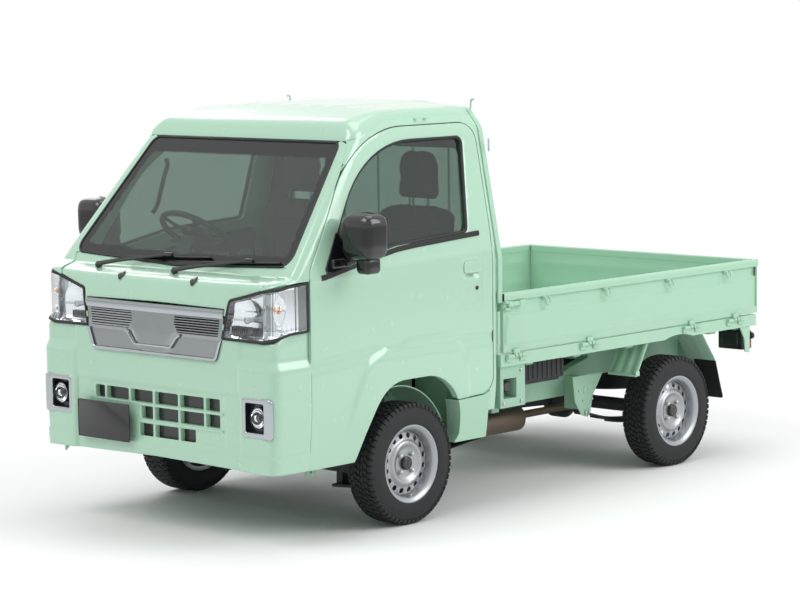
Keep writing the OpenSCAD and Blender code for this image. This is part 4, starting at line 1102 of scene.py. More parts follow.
@dataclass(frozen=True)
class Door:
    """A door: pressed skin with its arch and window cut, glass, seals, handle, lock and lining."""

    side: str
    step: float = 10.5
    thick: float = 34.0
    handle_y: float = -457.5
    handle_z: float = 1012.0
    crease: tuple = ((-1473, 778), (-1313, 788), (-1070, 800), (-326, 792))
    bulge: tuple = ((-1290, 380, 0), (-470, 380, 0), (-499, 677, 60), (-565, 793, 60), (-850, 795, 300),
                    (-1100, 775, 200), (-1201, 604, 250))

    @property
    def body(self) -> str:
        """The body that the door turns with."""
        return f"{self.side}_door"

    def hand(self, shape: Shape) -> Shape:
        """The shape on this door's side."""
        return shape if self.side == "left" else shape.mirrored()

    def relief(self, y: Array, z: Array) -> Array:
        """Pressed form: a groove along the side, a flare over the arch, a belt ridge and a handle hollow."""
        at = np.stack([y, z], -1).reshape(-1, 2)
        top = np.interp(y, *zip(*self.crease))
        groove = -7 * smoothstep(0, 20, top - z) * (1 - smoothstep(26, 70, top - z))
        inside = depth_to(bezier_corners(list(self.bulge), 6.0), at)[0].reshape(y.shape)
        flare = 8 * smoothstep(-9, 12, inside) * smoothstep(400, 560, z)
        belt = 1105 + (y + 1470) * 0.037
        ridge = 3.0 * np.exp(-np.abs(z - belt) / 14)
        hollow = rectangle((-519, 906), (-396, 1113), 22)
        depth = depth_to(hollow, at)[0].reshape(y.shape)
        dish = -2.5 * smoothstep(-2, 6, depth)
        pull = -15 * np.exp(-(((y + 457) / 42) ** 4 + ((z - 1052) / 17) ** 4))
        return groove + flare + ridge + dish + pull

    def build(self) -> None:
        """Makes the door's pieces."""
        window = bezier_corners(inset(SEAMS.window(), -2))
        outer = bezier_corners(inset(SEAMS.door(), 0.8))
        chart = SIDE.lifted(0.0, self.relief)
        skin = trimmed(chart, Region(outer, [bezier_corners(SEAMS.arch()), window]), self.step, self.thick, 2.2)
        self.hand(skin).build(f"door_{self.side}_pressing", BODY, self.body, (f"door_{self.side}",), "body_paint")
        self.glazing()
        self.furniture()
        self.lining()

    def glazing(self) -> None:
        """Glass in its channel, the seal round it and the thicker moulding along its foot."""
        line = bezier_corners(SEAMS.window())
        pane = trimmed(SIDE.lifted(-16), Region(line), 12, 4.0, 0.5)
        self.hand(pane).build(f"door_glass_{self.side}_pane", GLASS, self.body, (f"door_glass_{self.side}",),
                              "window_glass")
        ring = sweep(edge_path(SIDE.lifted(-9), inset(SEAMS.window(), 3)), circle(9.5, 10, 0.8), (1, 0, 0.2), True)
        y = np.linspace(P.nose + 292, SEAMS.rear_edge - 76, 60)
        z = np.interp(y, SEAMS.front_edge + np.array([80, 420, 536, 650, 1060]),
                      P.high - np.array([690, 626, 607, 598, 576]))
        foot = SIDE.lifted(1.0)(y, z)
        moulding = sweep(foot, np.array([(-4, -11), (4, -11), (5, -6), (5, 8), (1, 11), (-4, 11)]), (0, 0, 1))
        self.hand(ring + moulding).build(f"door_{self.side}_window_seals", SEAL, self.body)

    def furniture(self) -> None:
        """The pull handle over its hollow, and the lock."""
        y, z = self.handle_y, self.handle_z
        flap = bezier_corners([(y - 55, z + 46, 12), (y + 55, z + 46, 12), (y + 55, z + 92, 16), (y - 55, z + 92, 16)])
        handle = trimmed(SIDE.lifted(4.0), Region(flap), 5, 9.0, 3.0)
        self.hand(handle).build(f"door_{self.side}_handle", BODY, self.body)
        at = SIDE.at(y + 30.0, z - 26.0)
        lock = lathe([(-6, 9.5), (0.5, 9.5), (1.2, 8.5), (0.2, 6), (0.2, 0)], tuple(at), count=24)
        self.hand(lock + rounded_box(at + (-2, -1, -6), at + (1.5, 1, 6), 0.5)).build(
            f"door_{self.side}_lock", GLOSS, self.body)

    def lining(self) -> None:
        """The inner panel with an armrest, a pocket and a window winder."""
        line = bezier_corners([(-1380, 830, 60), (-390, 830, 60), (-390, 1195, 40), (-1330, 1085, 60)])

        def relief(y: Array, z: Array) -> Array:
            """A soft shelf for the arm and a hollow under it, seen from inside."""
            shelf = -22 * np.exp(-(((y + 800) / 260) ** 4 + ((z - 985) / 22) ** 4))
            return shelf + 2 * np.sin(z / 18) * smoothstep(830, 870, z) * (1 - smoothstep(930, 960, z))

        panel = trimmed(SIDE.lifted(-self.thick - 6, relief), Region(line), 14)
        back = panel.flipped()
        self.hand(shell(back, 4.0, 1.5)).build(f"door_{self.side}_lining", TRIM, self.body)
        hub = SIDE.at(-1010.0, 915.0) - (self.thick + 8, 0, 0)
        winder = (lathe([(0, 24), (-10, 22), (-14, 16), (-14, 0)], tuple(hub), count=32)
                  + tube([hub + (-12, 0, 0), hub + (-22, 60, 20), hub + (-24, 110, 36)], 6, 10)
                  + lathe([(0, 0), (0, 11), (-24, 12), (-28, 8), (-28, 0)], tuple(hub + (-20, 112, 37)), count=20))
        self.hand(winder).build(f"door_{self.side}_winder", TRIM, self.body)


@dataclass(frozen=True)
class DoorMirror:
    """A door mirror: sail plate, arm, housing and glass."""

    side: str
    foot: float = 1172.0
    tall: float = 206.0
    mid: float = 822.0
    half: float = 85.0
    corner: float = 0.42

    def build(self) -> None:
        """Makes the mirror's pieces."""
        hand = Door(self.side).hand
        body = f"{self.side}_door"
        f = SEAMS.front_edge
        sail = trimmed(SIDE.lifted(4.0), Region(bezier_corners(
            [(f + 82, P.high - 677, 16), (f + 262, P.high - 660, 8), (f + 186, P.high - 500, 12)])), 6, 22.0, 3.0)
        hand(sail + self.housing() + self.arm()).build(
            f"mirror_{self.side}_housing", GLOSS, body, (f"mirror_{self.side}",), "gloss_black", smooth=60)
        hand(self.glass()).build(f"mirror_{self.side}_glass", MIRROR, body)

    def housing(self) -> Shape:
        """A domed shell: rings of a rounded rectangle, whose size follows a super-ellipse in height."""
        z = self.foot + self.tall * np.linspace(0, 1, 21)
        t = (z - self.foot) / self.tall
        full = np.clip(1 - np.abs(2 * t - 1) ** 5.5, 0.0, 1) ** 0.45
        full[[0, -1]] = 0.02
        a = np.linspace(0, 2 * np.pi, 40, endpoint=False)
        x, y = [np.sign(k) * np.abs(k) ** self.corner for k in (np.cos(a), np.sin(a))]
        mid = self.mid + 4 * t
        depth = np.where(y < 0, 74.0, 62.0)
        rings = np.stack([mid[:, None] + self.half * full[:, None] * x, -1240 + full[:, None] * y * depth,
                          np.broadcast_to(z[:, None], (21, 40))], -1)
        made = grid(rings, around=True)
        return made.flipped()

    def arm(self) -> Shape:
        """The foot and the neck that carries the housing, and its lower part."""
        neck = tube([(716, -1262, 1168), (752, -1262, 1172), (800, -1255, 1190)], 20, 14, up=(0, 1, 0), sides=16)
        keel = rounded_box((800, -1282, 1120), (876, -1196, 1192), 20, 4)
        foot = rounded_box((712, -1345, 1142), (738, -1225, 1182), 10, 3)
        return neck + keel + foot

    def glass(self) -> Shape:
        """The silvered glass on the rear face, a shallow dish."""
        line = bezier_corners([(748, 1190, 22), (888, 1190, 22), (894, 1362, 26), (754, 1362, 26)])

        def surface(u: Array, v: Array) -> Array:
            """A plane across the housing's rear, bulging by a few millimetres."""
            bulge = 3 * (1 - ((u - 810) / 60) ** 2) * (1 - ((v - 1275) / 90) ** 2)
            return np.stack([u, -1179.5 + bulge, v], -1)

        made = trimmed(surface, Region(line), 8)
        return made.flipped()


@dataclass(frozen=True)
class CabShell:
    """Roof, pillars, side frames, rear wall and fixed glass."""

    thick: float = 26.0
    rim: float = 0.4

    def build(self) -> None:
        """Makes the shell's panels."""
        corner = FRONT.at(P.half - 165, P.high - 144)
        self.roof(corner)
        self.side_frame(corner)
        self.pillar(corner)
        self.rear_wall()
        self.glass()

    @staticmethod
    def door_front() -> Array:
        """The gap's outer line along the door's front edge, over the headlamp, in side view."""
        dense = bezier_corners(inset(SEAMS.door(), -SEAMS.gap), 2)
        return dense[(dense[:, 0] < SEAMS.front_edge + 262) & (dense[:, 1] > 1103)]

    def pillar_top(self, corner: Array) -> Array:
        """The seam over the windscreen pillar's end, from the windscreen's corner to the door, in side view."""
        front = self.door_front()
        return np.linspace(corner[1:], front[front[:, 1].argmax()], 14)

    def joint(self, corner: Array) -> Array:
        """The line on the skin where roof and side frame meet, from the windscreen's corner to the rear."""
        y = np.linspace(corner[1], P.back - 10, 60)
        z = np.interp(y, [corner[1], corner[1] + 260, P.back], [corner[2], P.high - 68, P.high - 66])
        return SIDE(y, z)

    def roof(self, corner: Array) -> None:
        """The roof, from the windscreen's top edge to the rear wall."""
        edge = ROOF.place(self.joint(corner))
        top = ROOF.place(along(FRONT, (P.half - 170, P.high - 144), (-(P.half - 170), P.high - 144), 60))
        left = edge * (-1, 1)
        line = np.vstack([edge[::-1], top, left])

        def relief(x: Array, y: Array) -> Array:
            """Shallow ribs that stiffen the roof along its length."""
            ribs = np.cos(np.clip(np.abs(x), 0, 420) / 420 * 6 * np.pi)
            fade = smoothstep(P.nose + 760, P.nose + 900, y) * (1 - smoothstep(P.back - 130, P.back - 60, y))
            return 1.6 * ribs * fade * (1 - smoothstep(380, 440, np.abs(x)))

        panel = trimmed(ROOF.lifted(0, relief), Region(line[::-1]), 12, self.thick, self.rim)
        panel.build("roof_pressing", BODY, "root", ("cab_roof",), "body_paint")

    def side_frame(self, corner: Array) -> None:
        """Rail over the door and the pillar behind it, one panel a side."""
        door = bezier_corners(inset(SEAMS.door(), -SEAMS.gap))
        top = SIDE.place(self.joint(corner))
        b = P.back - 10
        line = np.vstack([top[::-1], self.pillar_top(corner)[1:], [(SEAMS.front_edge + 420, P.high - 330),
                          (SEAMS.rear_edge - 60, 560), (SEAMS.rear_edge - 60, 436), (b, 436)]])
        panel = trimmed(SIDE, Region(line, [door]), 7, self.thick, self.rim)
        panel.pair().build("side_frames_pressing", BODY, "root")
        # A thin dark rubber tube laid in the door gap: partly the aperture's seal, partly painted shade that keeps the
        # gap dark.
        edge = bezier_corners(inset(SEAMS.door(), -4.1), 3)
        edge = np.roll(edge, -int(edge[:, 0].argmin()) - 1, 0)
        seen = edge[(edge[:, 1] > P.high - 640) | (edge[:, 0] > SEAMS.rear_edge - 20)]
        seen = seen[np.argsort(np.arctan2(seen[:, 1] - 1200, seen[:, 0] + 700))[::-1]]
        seen = respaced(seen, 260)
        seal = sweep(SIDE.lifted(-4.0)(seen[:, 0], seen[:, 1]), circle(1.5, 6), (1, 0, 0))
        seal.pair().build("door_aperture_seals_and_gap_shade", SEAL, "root")

    def pillar(self, corner: Array) -> None:
        """Windscreen pillar and the panel at its foot, down to the headlamp."""
        chart = Chart((420, P.nose + 560, 1200), (0.82, 0.57, 0), (-0.17, 0.24, 0.78))
        screen = bezier_corners(inset(SEAMS.windscreen(), -2.5), 4)
        right = screen[(screen[:, 0] > 0)]
        right = right[np.argsort(right[:, 1])]
        k = right[(right[:, 1] > P.high - 640) & (right[:, 0] > P.half - 180)]
        screen_edge = FRONT(k[:, 0], k[:, 1])
        front = self.door_front()
        front = respaced(front[np.argsort(front[:, 1])], 80)
        door_edge = SIDE(front[:, 0], front[:, 1])
        hood = FRONT(np.array([612.0, 632, 652]), np.array([1069.0, 1118, P.high - 641]))
        lamp = NOSE(np.array([902.0, 800, 700, 640]), np.array([1104.0, 1099, 1085, 1075]))
        seam = self.pillar_top(corner)[1:-1]
        rim = np.vstack([door_edge[::-1], lamp, hood, screen_edge[screen_edge[:, 2] < corner[2]],
                         corner[None], SIDE(seam[:, 0], seam[:, 1])])
        panel = trimmed(chart, Region(chart.place(rim)), 6, self.thick, self.rim)
        panel.pair().build("windscreen_pillars_pressing", BODY, "root", ("windscreen_pillars",), "body_paint")

    def rear_wall(self) -> None:
        """The wall behind the seats, with ribs pressed across it and its window cut."""
        outline = inset(SKIN.front_outline(), 10)
        line = bezier_corners(outline)
        line[:, 1] = np.maximum(line[:, 1], 436)
        hole = bezier_corners(SEAMS.rear_window())

        def relief(u: Array, v: Array) -> Array:
            """Three level ribs under the window."""
            fade = 1 - smoothstep(520, 600, np.abs(u))
            return 5 * fade * np.exp(-((np.mod(v - 700, 160) - 80) / 26) ** 4) * (1 - smoothstep(1120, 1160, v))

        panel = trimmed(REAR.lifted(0, relief), Region(line, [hole]), 18, 22.0, self.rim)
        panel.build("rear_wall_pressing", BODY, "root", ("cab_rear_wall",), "body_paint")
        trimmed(REAR.lifted(-24), Region(bezier_corners(inset(outline, 26)), [hole]), 34, 3.0).build(
            "rear_wall_lining", TRIM, "root")

    def glass(self) -> None:
        """Windscreen with its printed border, rear window and their seals."""
        line = bezier_corners(inset(SEAMS.windscreen(), 1.5))

        def frit(depth: Array, z: Array) -> Array:
            """1 on the printed border, wider along the top and foot."""
            width = 36 + 26 * smoothstep(P.high - 240, P.high - 190, z) + 16 * (1 - smoothstep(1150, 1200, z))
            return 1 - smoothstep(0, 5, depth - width)

        screen = trimmed(FRONT.lifted(-3), Region(line), 9, 5.0, 0.6, mark=frit)
        rear = trimmed(REAR.lifted(-12), Region(bezier_corners(SEAMS.rear_window())), 16, 4.0, 0.5)
        screen.build("windscreen_laminated", SCREEN, "root", ("cab_glass",), "window_glass")
        rear.build("rear_window_pane", GLASS, "root")
        seal = sweep(edge_path(FRONT.lifted(-2), inset(SEAMS.windscreen(), 1)), circle(4.5, 8), (0, -0.76, 0.64), True)
        back = sweep(edge_path(REAR.lifted(-4), inset(SEAMS.rear_window(), 2)), circle(11, 10, 0.7), (0, 1, 0.1), True)
        (seal + back).build("window_seals", SEAL, "root")


@dataclass(frozen=True)
class NoseSkin:
    """The hood panel under the windscreen and the bumper with its cut-outs."""

    columns: tuple = ((-393, -330), (-320, -176), (-166, -24), (-14, 132), (142, 288), (298, 384))
    rows: tuple = ((551, 608, -393, 384), (482, 541, -100, 384), (410, 466, -112, 237))
    fog: tuple = ((532, 468, 14), (704, 468, 14), (704, 632, 14), (532, 632, 14))

    def build(self) -> None:
        """Makes the panels."""
        self.hood()
        self.bumper()
        self.intake()
        self.nozzles()

    def hood(self) -> None:
        """The panel between windscreen, lamps and grille."""
        screen = bezier_corners(inset(SEAMS.windscreen(), -2.5), 4)
        foot = screen[(np.abs(screen[:, 0]) < P.half - 85) & (screen[:, 1] < P.high - 500)]
        foot = foot[np.argsort(foot[:, 0])]
        x = np.linspace(foot[0, 0], foot[-1, 0], 60)
        top = np.column_stack([x, np.interp(x, foot[:, 0], foot[:, 1])])
        right = np.array([(652.0, P.high - 641), (632, 1118), (613, 1073.5), (530, 1050), (452, 1030.5), (446, 1027),
                          (440, 1005), (424, 905), (417, 868), (415, 868), (422, 925), (431, 989)])
        line = np.vstack([top[::-1], right * (-1, 1), right[::-1]])
        at = FRONT(line[:, 0], line[:, 1])

        def relief(x: Array, v: Array) -> Array:
            """A pressed fold across the panel, above the grille."""
            return -5 * smoothstep(0, 26, self.fold(x) - v) * smoothstep(0, 40, v + 200)

        chart = HOOD.lifted(0, relief)
        panel = trimmed(chart, Region(HOOD.place(at)), 9, 20.0, 1.2)
        panel.build("hood_pressing", BODY, "root", ("front_panel",), "body_paint")

    def fold(self, x: Array) -> Array:
        """Place of the fold across the hood, in the chart's second number."""
        return 96 + 26 * smoothstep(360, 640, np.abs(x))

    def relief(self, s: Array, z: Array) -> Array:
        """The corner blocks stand out, the middle is set back and a lip runs along the foot."""
        corner = smoothstep(499, 514, np.abs(s)) * (1 - smoothstep(742, 790, z))
        lip = 1 - smoothstep(386, 398, z)
        band = smoothstep(626, 640, z) * (1 - smoothstep(500, 520, np.abs(s)))
        recess = (1 - smoothstep(408, 416, np.abs(s))) * smoothstep(398, 404, z) * (1 - smoothstep(618, 626, z))
        return -15 * (1 - corner) * (1 - band * 0.45) + 6 * lip - 4 * recess

    def bumper(self) -> None:
        """The face from lamps to foot."""
        holes = [rectangle((a, low), (b, high), 3)
                 for low, high, first, last in self.rows for a, b in self.cells(first, last)]
        for way in (1, -1):
            fog = [(way * u, v, r) for u, v, r in self.fog]
            holes.append(bezier_corners(fog if way > 0 else fog[::-1]))
        skin = trimmed(NOSE.lifted(0, self.relief), Region(bezier_corners(SEAMS.bumper()), holes), 10, 24.0, 1.8)
        bars = [sweep(along(NOSE.lifted(1, self.relief), (a, z), (b, z)), np.array(
            [(-5, -3), (5, -3), (4, 4), (-4, 4)]), (0, -1, 0)) for z, a, b in
            ((546, -118, 404), (474, -118, 404))]
        joined([skin, *bars]).build("bumper_moulding", BODY, "root", ("front_bumper",), "body_paint")
        mark = [(590, 682, 3), (612, 682, 3), (612, 704, 3), (590, 704, 3)]
        square = trimmed(NOSE.lifted(0.8), Region(bezier_corners(mark)), 8, 3.0, 1.0)
        square.pair().build("bumper_covers", BODY, "root")

    def cells(self, first: float, last: float) -> list:
        """The intake's columns between two places, the end ones cut short."""
        cut = [(max(a, first), min(b, last)) for a, b in self.columns]
        return [(a, b) for a, b in cut if b - a > 20]

    def intake(self) -> None:
        """The dark panel behind the intake, and the blank plate on its pads."""
        back = trimmed(NOSE.lifted(-44), Region(rectangle((-412, 396), (412, 622), 10)), 20, 4.0)
        back.build("intake_duct", LAMP_BLACK, "root")
        x, z, y = -302, 460.5, P.nose
        plate = prism(rectangle((x - 165, z - 82), (x + 165, z + 82), 8), "xz", y - 7, y - 3.5, 0.6)
        line = rectangle((x - 163, z - 80), (x + 163, z + 80), 8, 15)
        edge = sweep(np.insert(line, 1, y - 7.0, axis=1), circle(1.6, 8), (0, 1, 0), True)
        pads = [rounded_box((x + k - 9, y - 4, z - 60), (x + k + 9, y + 16, z + 60), 1.5) for k in (-120, 120)]
        joined([plate, edge, *pads]).build("number_plate_blank", GLOSS, "root", ("number_plate",), "gloss_black")

    def nozzles(self) -> None:
        """Two diamond-shaped washer nozzles on the hood."""
        shapes = []
        for x in (-224, 224):
            at = FRONT.at(float(x), 1092.0)
            diamond = np.array([(0, -24), (15, -2), (0, 24), (-15, -2)], float)
            line = HOOD.place(at[None])[0] + diamond
            shapes.append(trimmed(HOOD.lifted(4), Region(line), 6, 6.0, 2.5))
        joined(shapes).build("washer_nozzles", GLOSS, "root")


@dataclass(frozen=True)
class Grille:
    """The plated grille: frame with a plain hexagonal middle, level louvres and bright trims."""

    louvres: int = 7

    def build(self) -> None:
        """Makes the grille's pieces."""
        outline = bezier_corners(inset(SEAMS.grille(), 2))
        window = bezier_corners([(152, 868, 3), (392, 868, 8), (401, 946, 6), (134, 946, 3), (128, 905, 30)])
        other = (window * (-1, 1))[::-1]
        back = trimmed(FRONT.lifted(-24), Region(outline), 24, 4.0)
        back.build("grille_back", LAMP_BLACK, "root")

        def relief(x: Array, z: Array) -> Array:
            """The lower panel is set back; the hexagon stands a little proud."""
            low = (1 - smoothstep(858, 866, z)) * smoothstep(110, 150, np.abs(x) + (862 - z) * 0.65)
            return -5 * low

        face = trimmed(FRONT.lifted(-3, relief), Region(outline, [window, other]), 7, 16.0, 1.5)
        bars = []
        for z in np.linspace(876, 940, self.louvres):
            for way in (1, -1):
                path = along(FRONT.lifted(-6), (way * 130, z), (way * 400, z), 16)
                bars.append(sweep(path, np.array([(-3.2, -6), (2.6, -6), (2.6, 1), (-0.8, 4), (-3.2, 3)]), (0, -1, 0)))
        joined([face, *bars]).build("grille_plated", GRILLE, "root", ("grille",), "grille_chrome")
        lip = SEAMS.grille()
        foot = bezier_corners(lip, 6.0)
        foot = foot[foot[:, 1] < 905]
        foot = foot[np.argsort(np.arctan2(foot[:, 0], 905 - foot[:, 1] + 60))]
        line = respaced(foot, 160) * (0.992, 1) + (0, 4)
        trim = sweep(FRONT.lifted(-1)(line[:, 0], line[:, 1]), circle(7, 10, 0.8), (0, -1, 0))
        top = sweep(along(FRONT.lifted(-1), (-424, 962), (424, 962), 80),
                    np.array([(-15, -4), (15, -4), (15, 1), (6, 4), (-15, 2)]), (0, -1, 0))
        v = [(-172, 862), (-150, 850), (-112, 806), (112, 806), (150, 850), (172, 862)]
        path = np.vstack([along(FRONT.lifted(1), a, b, 12)[:-1] for a, b in zip(v, v[1:])])
        chevron = sweep(path, np.array([(-5, -4), (5, -4), (4, 3), (-2, 4)]), (0, -1, 0))
        joined([trim, top, chevron]).build("grille_bright_trims", CHROME, "root")


@dataclass(frozen=True)
class FogLamp:
    """A fog lamp in its bright bezel; drawn for the vehicle's left and mirrored."""

    def build(self) -> None:
        """Makes both lamps."""
        outline = rectangle((534, 470), (702, 630), 13)
        inner = rectangle((546, 486), (664, 614), 10)

        def relief(s: Array, z: Array) -> Array:
            """The bezel stands proudest at its outer side and slopes in to the opening."""
            return 7 * smoothstep(640, 690, s) + 2

        bezel = trimmed(NOSE.lifted(0, relief), Region(outline, [inner]), 6, 30.0, 3.0)
        bezel.pair().build("fog_lamp_bezels", CHROME, "root", ("fog_lamps",), "grille_chrome", smooth=50)
        cup = trimmed(NOSE.lifted(-30), Region(outline), 12, 4.0)
        wall = trimmed(NOSE.lifted(-2), Region(inner, [rectangle((549, 489), (661, 611), 8)]), 6, 30.0, 0.4)
        (cup + wall).pair().build("fog_lamp_wells", LAMP_BLACK, "root")
        y = NOSE.at(612.0, 550.0)[1]
        bowl = lathe([(y + 12, 40), (y + 11, 36), (y + 20, 30), (y + 30, 18), (y + 34, 0)], (612, 0, 550), "Y", 48)
        bulb = lathe([(y + 32, 7), (y + 16, 7), (y + 12, 5), (y + 10, 0)], (612, 0, 550), "Y", 24)
        bowl.pair().build("fog_lamp_bowls", BOWL, "root")
        bulb.pair().build("fog_lamp_bulbs", LAMP_BLACK, "root")
        lens = lathe([(y + 14, 42), (y + 8, 41), (y + 5, 34), (y + 3.5, 18), (y + 3, 0)], (612, 0, 550), "Y", 48)
        lens.pair().build("fog_lamp_lenses", LENS, "root")
        ring = lathe([(y + 16, 46), (y + 7, 46), (y + 5, 43), (y + 8, 41), (y + 14, 41)], (612, 0, 550), "Y", 48)
        ring.pair().build("fog_lamp_rings", GLOSS, "root")


@dataclass(frozen=True)
class HeadLamp:
    """A headlamp: gasket, housing wall, fluted reflector, bulbs and clear lens."""

    bowl_at: tuple = (528.0, 944.0)
    signal_at: tuple = (742.0, 990.0)

    def relief(self, s: Array, z: Array) -> Array:
        """Two dishes in the plated reflector and flutes between them and the door."""
        r = np.hypot(s - self.bowl_at[0], (z - self.bowl_at[1]) * 1.05)
        dish = -26 * (1 - np.clip(r / 92, 0, 1) ** 2)
        q = np.hypot(s - self.signal_at[0], z - self.signal_at[1])
        signal = -16 * (1 - np.clip(q / 56, 0, 1) ** 2)
        flutes = 2.2 * np.abs(np.sin(s / 24 * np.pi)) * smoothstep(640, 660, s) * (q > 56)
        step = 9 * smoothstep(0, 5, r - 93) * (1 - smoothstep(632, 640, s))
        shelf = 8 * (1 - smoothstep(884, 890, z))
        return dish + signal + flutes + step * 0.6 + shelf

    def build(self) -> None:
        """Makes both lamps."""
        lamp = SEAMS.lamp()
        outline, inner = bezier_corners(inset(lamp, 1.5)), bezier_corners(inset(lamp, 9))
        seal = trimmed(NOSE.lifted(-1), Region(outline, [inner]), 5, 12.0, 1.5)
        seal.pair().build("headlamp_gaskets", SEAL, "root", ("headlamps",), "lamp_glass")
        wall = trimmed(NOSE.lifted(-8), Region(bezier_corners(inset(lamp, 6)), [bezier_corners(inset(lamp, 12))]),
                       6, 44.0, 0.5)
        wall.pair().build("headlamp_walls", GRILLE, "root")
        inner = Region(bezier_corners(inset(lamp, 7)))
        bowl = trimmed(NOSE.lifted(-38, self.relief), inner, 5, 3.0)
        bowl.pair().build("headlamp_reflectors", BOWL, "root")
        lens = trimmed(NOSE.lifted(-1.5), inner, 9, 3.0, 0.8)
        lens.pair().build("headlamp_lenses", LENS, "root")
        self.inside()

    def inside(self) -> None:
        """Bulbs, shields, divider and ribbed insert."""
        s, z = self.bowl_at
        y = NOSE.at(s, z)[1]
        shield = lathe([(y + 62, 10), (y + 40, 12), (y + 32, 15), (y + 26, 14), (y + 23, 9), (y + 22, 0)],
                       (s, 0, z), "Y", 32)
        ring = lathe([(y + 28, 96), (y + 20, 97), (y + 17, 93), (y + 26, 91)], (s, 0, z), "Y", 64)
        ring = Shape(np.column_stack([ring.points[:, 0], ring.points[:, 1] + 0.15 * np.abs(ring.points[:, 0] - s)
                                      * (ring.points[:, 0] > s), ring.points[:, 2]]), ring.faces)
        fin = trimmed(NOSE.lifted(-8), Region(bezier_corners([(640, 880, 4), (650, 880, 4), (650, 1062, 4),
                                                              (640, 1058, 4)])), 6, 34.0, 1.0)
        (shield + fin).pair().build("headlamp_shields", CHROME, "root")
        ribs = [rounded_box((452 + 11 * k, y + 12 + 0.09 * k * k, 886), (457 + 11 * k, y + 44, 918), 1.5)
                for k in range(9)]
        joined(ribs).pair().build("headlamp_ribs", LAMP_BLACK, "root")
        a, b = self.signal_at
        self.ball(NOSE.lifted(-26).at(a, b), 13).pair().build("indicator_bulbs", AMBER, "root")
        self.ball(NOSE.lifted(-24).at(744.0, 918.0), 10).pair().build("side_bulbs", BOWL, "root")

    def ball(self, at: Array, r: float) -> Shape:
        """A sphere."""
        a = np.linspace(0, np.pi, 13)
        return lathe([(-r * math.cos(t), r * math.sin(t)) for t in a], tuple(at), count=20)


@dataclass(frozen=True)
class Wipers:
    """Two wipers with tapered arms and hinged blades at rest along the foot of the windscreen."""

    posts: tuple = ((-430, -10, 500), (52, 480, 560))
    out: tuple = (0, -0.76, 0.65)

    def build(self) -> None:
        """Makes both wipers."""
        shapes = []
        for x, tip, length in self.posts:
            base = FRONT.at(float(x), 1112.0)
            up = np.array(self.out)
            shapes.append(lathe([(-6, 13), (10, 13), (16, 11), (20, 6), (20.5, 0)], tuple(base), "Z", 24)
                          .turned("X", 40, tuple(base)))
            end = FRONT.lifted(15).at(float(tip) - 40, 1168.0)
            start = base + up * 17
            knee = start * 0.72 + end * 0.28 + up * 5
            arm = np.array([start, knee, start * 0.4 + end * 0.6 + up * 3, end])
            line = curve(arm.tolist(), 24)
            taper = np.linspace(1.35, 0.6, 24)
            side = bearings(line, self.out)[1]
            box = np.array([(-8, -4), (8, -4), (6, 4), (-6, 4)])
            rings = line[:, None] + taper[:, None, None] * (box[None, :, :1] * side[:, None]
                                                            + box[None, :, 1:] * up)
            shapes.append(capped(rings).flipped())
            first = max(tip - 40 - length / 2, -600)
            blade = along(FRONT.lifted(7), (first, 1152), (min(first + length, 610), 1172), 40)
            holder = np.array([(-5, -4), (5, -4), (3, 3), (-3, 3)])
            lip = np.array([(-1.5, -4), (1.5, -4), (1.5, 4), (-1.5, 4)])
            shapes.append(sweep(blade, holder, self.out))
            shapes.append(sweep(blade - up * 5, lip, self.out))
            shapes.append(rounded_box(tuple(end - (22, 8, 8)), tuple(end + (22, 8, 8)), 4))
        joined(shapes).build("wiper_arms_and_blades", GLOSS, "root", ("wipers",), "gloss_black")


def bolt_head(at: tuple, axis: str, radius: float) -> Shape:
    """A hexagon head that stands on a place and points along an axis."""
    high = radius * 0.7
    profile = [(-1.5, 0), (-1.5, radius), (high, radius), (high + 1, radius * 0.75), (high + 1, 0)]
    k = "XYZ".index(axis)
    return lathe([(at[k] + a, r) for a, r in profile], tuple(0 if j == k else c for j, c in enumerate(at)), axis, 6)


@dataclass(frozen=True)
class Bed:
    """Lengths that the bed's pieces share, in millimetres from the frame's places."""

    front: float = P.back + 30
    rear: float = P.tail - 9
    low: float = P.deck + 20
    top: float = P.deck + 285
    out: float = P.half - 2.5
    thick: float = 28.0
    crease: float = P.deck + 181
    hinges: tuple = (P.back + 110, P.back + 635, P.rear_axle + 95, P.tail - 204)
    tail_hinges: tuple = (-520, -180, 180, 520)
    hooks: tuple = (P.back + 327, P.back + 765, P.back + 1249, P.tail - 268)
    sill: float = P.half - 7.5


BEDS = Bed()


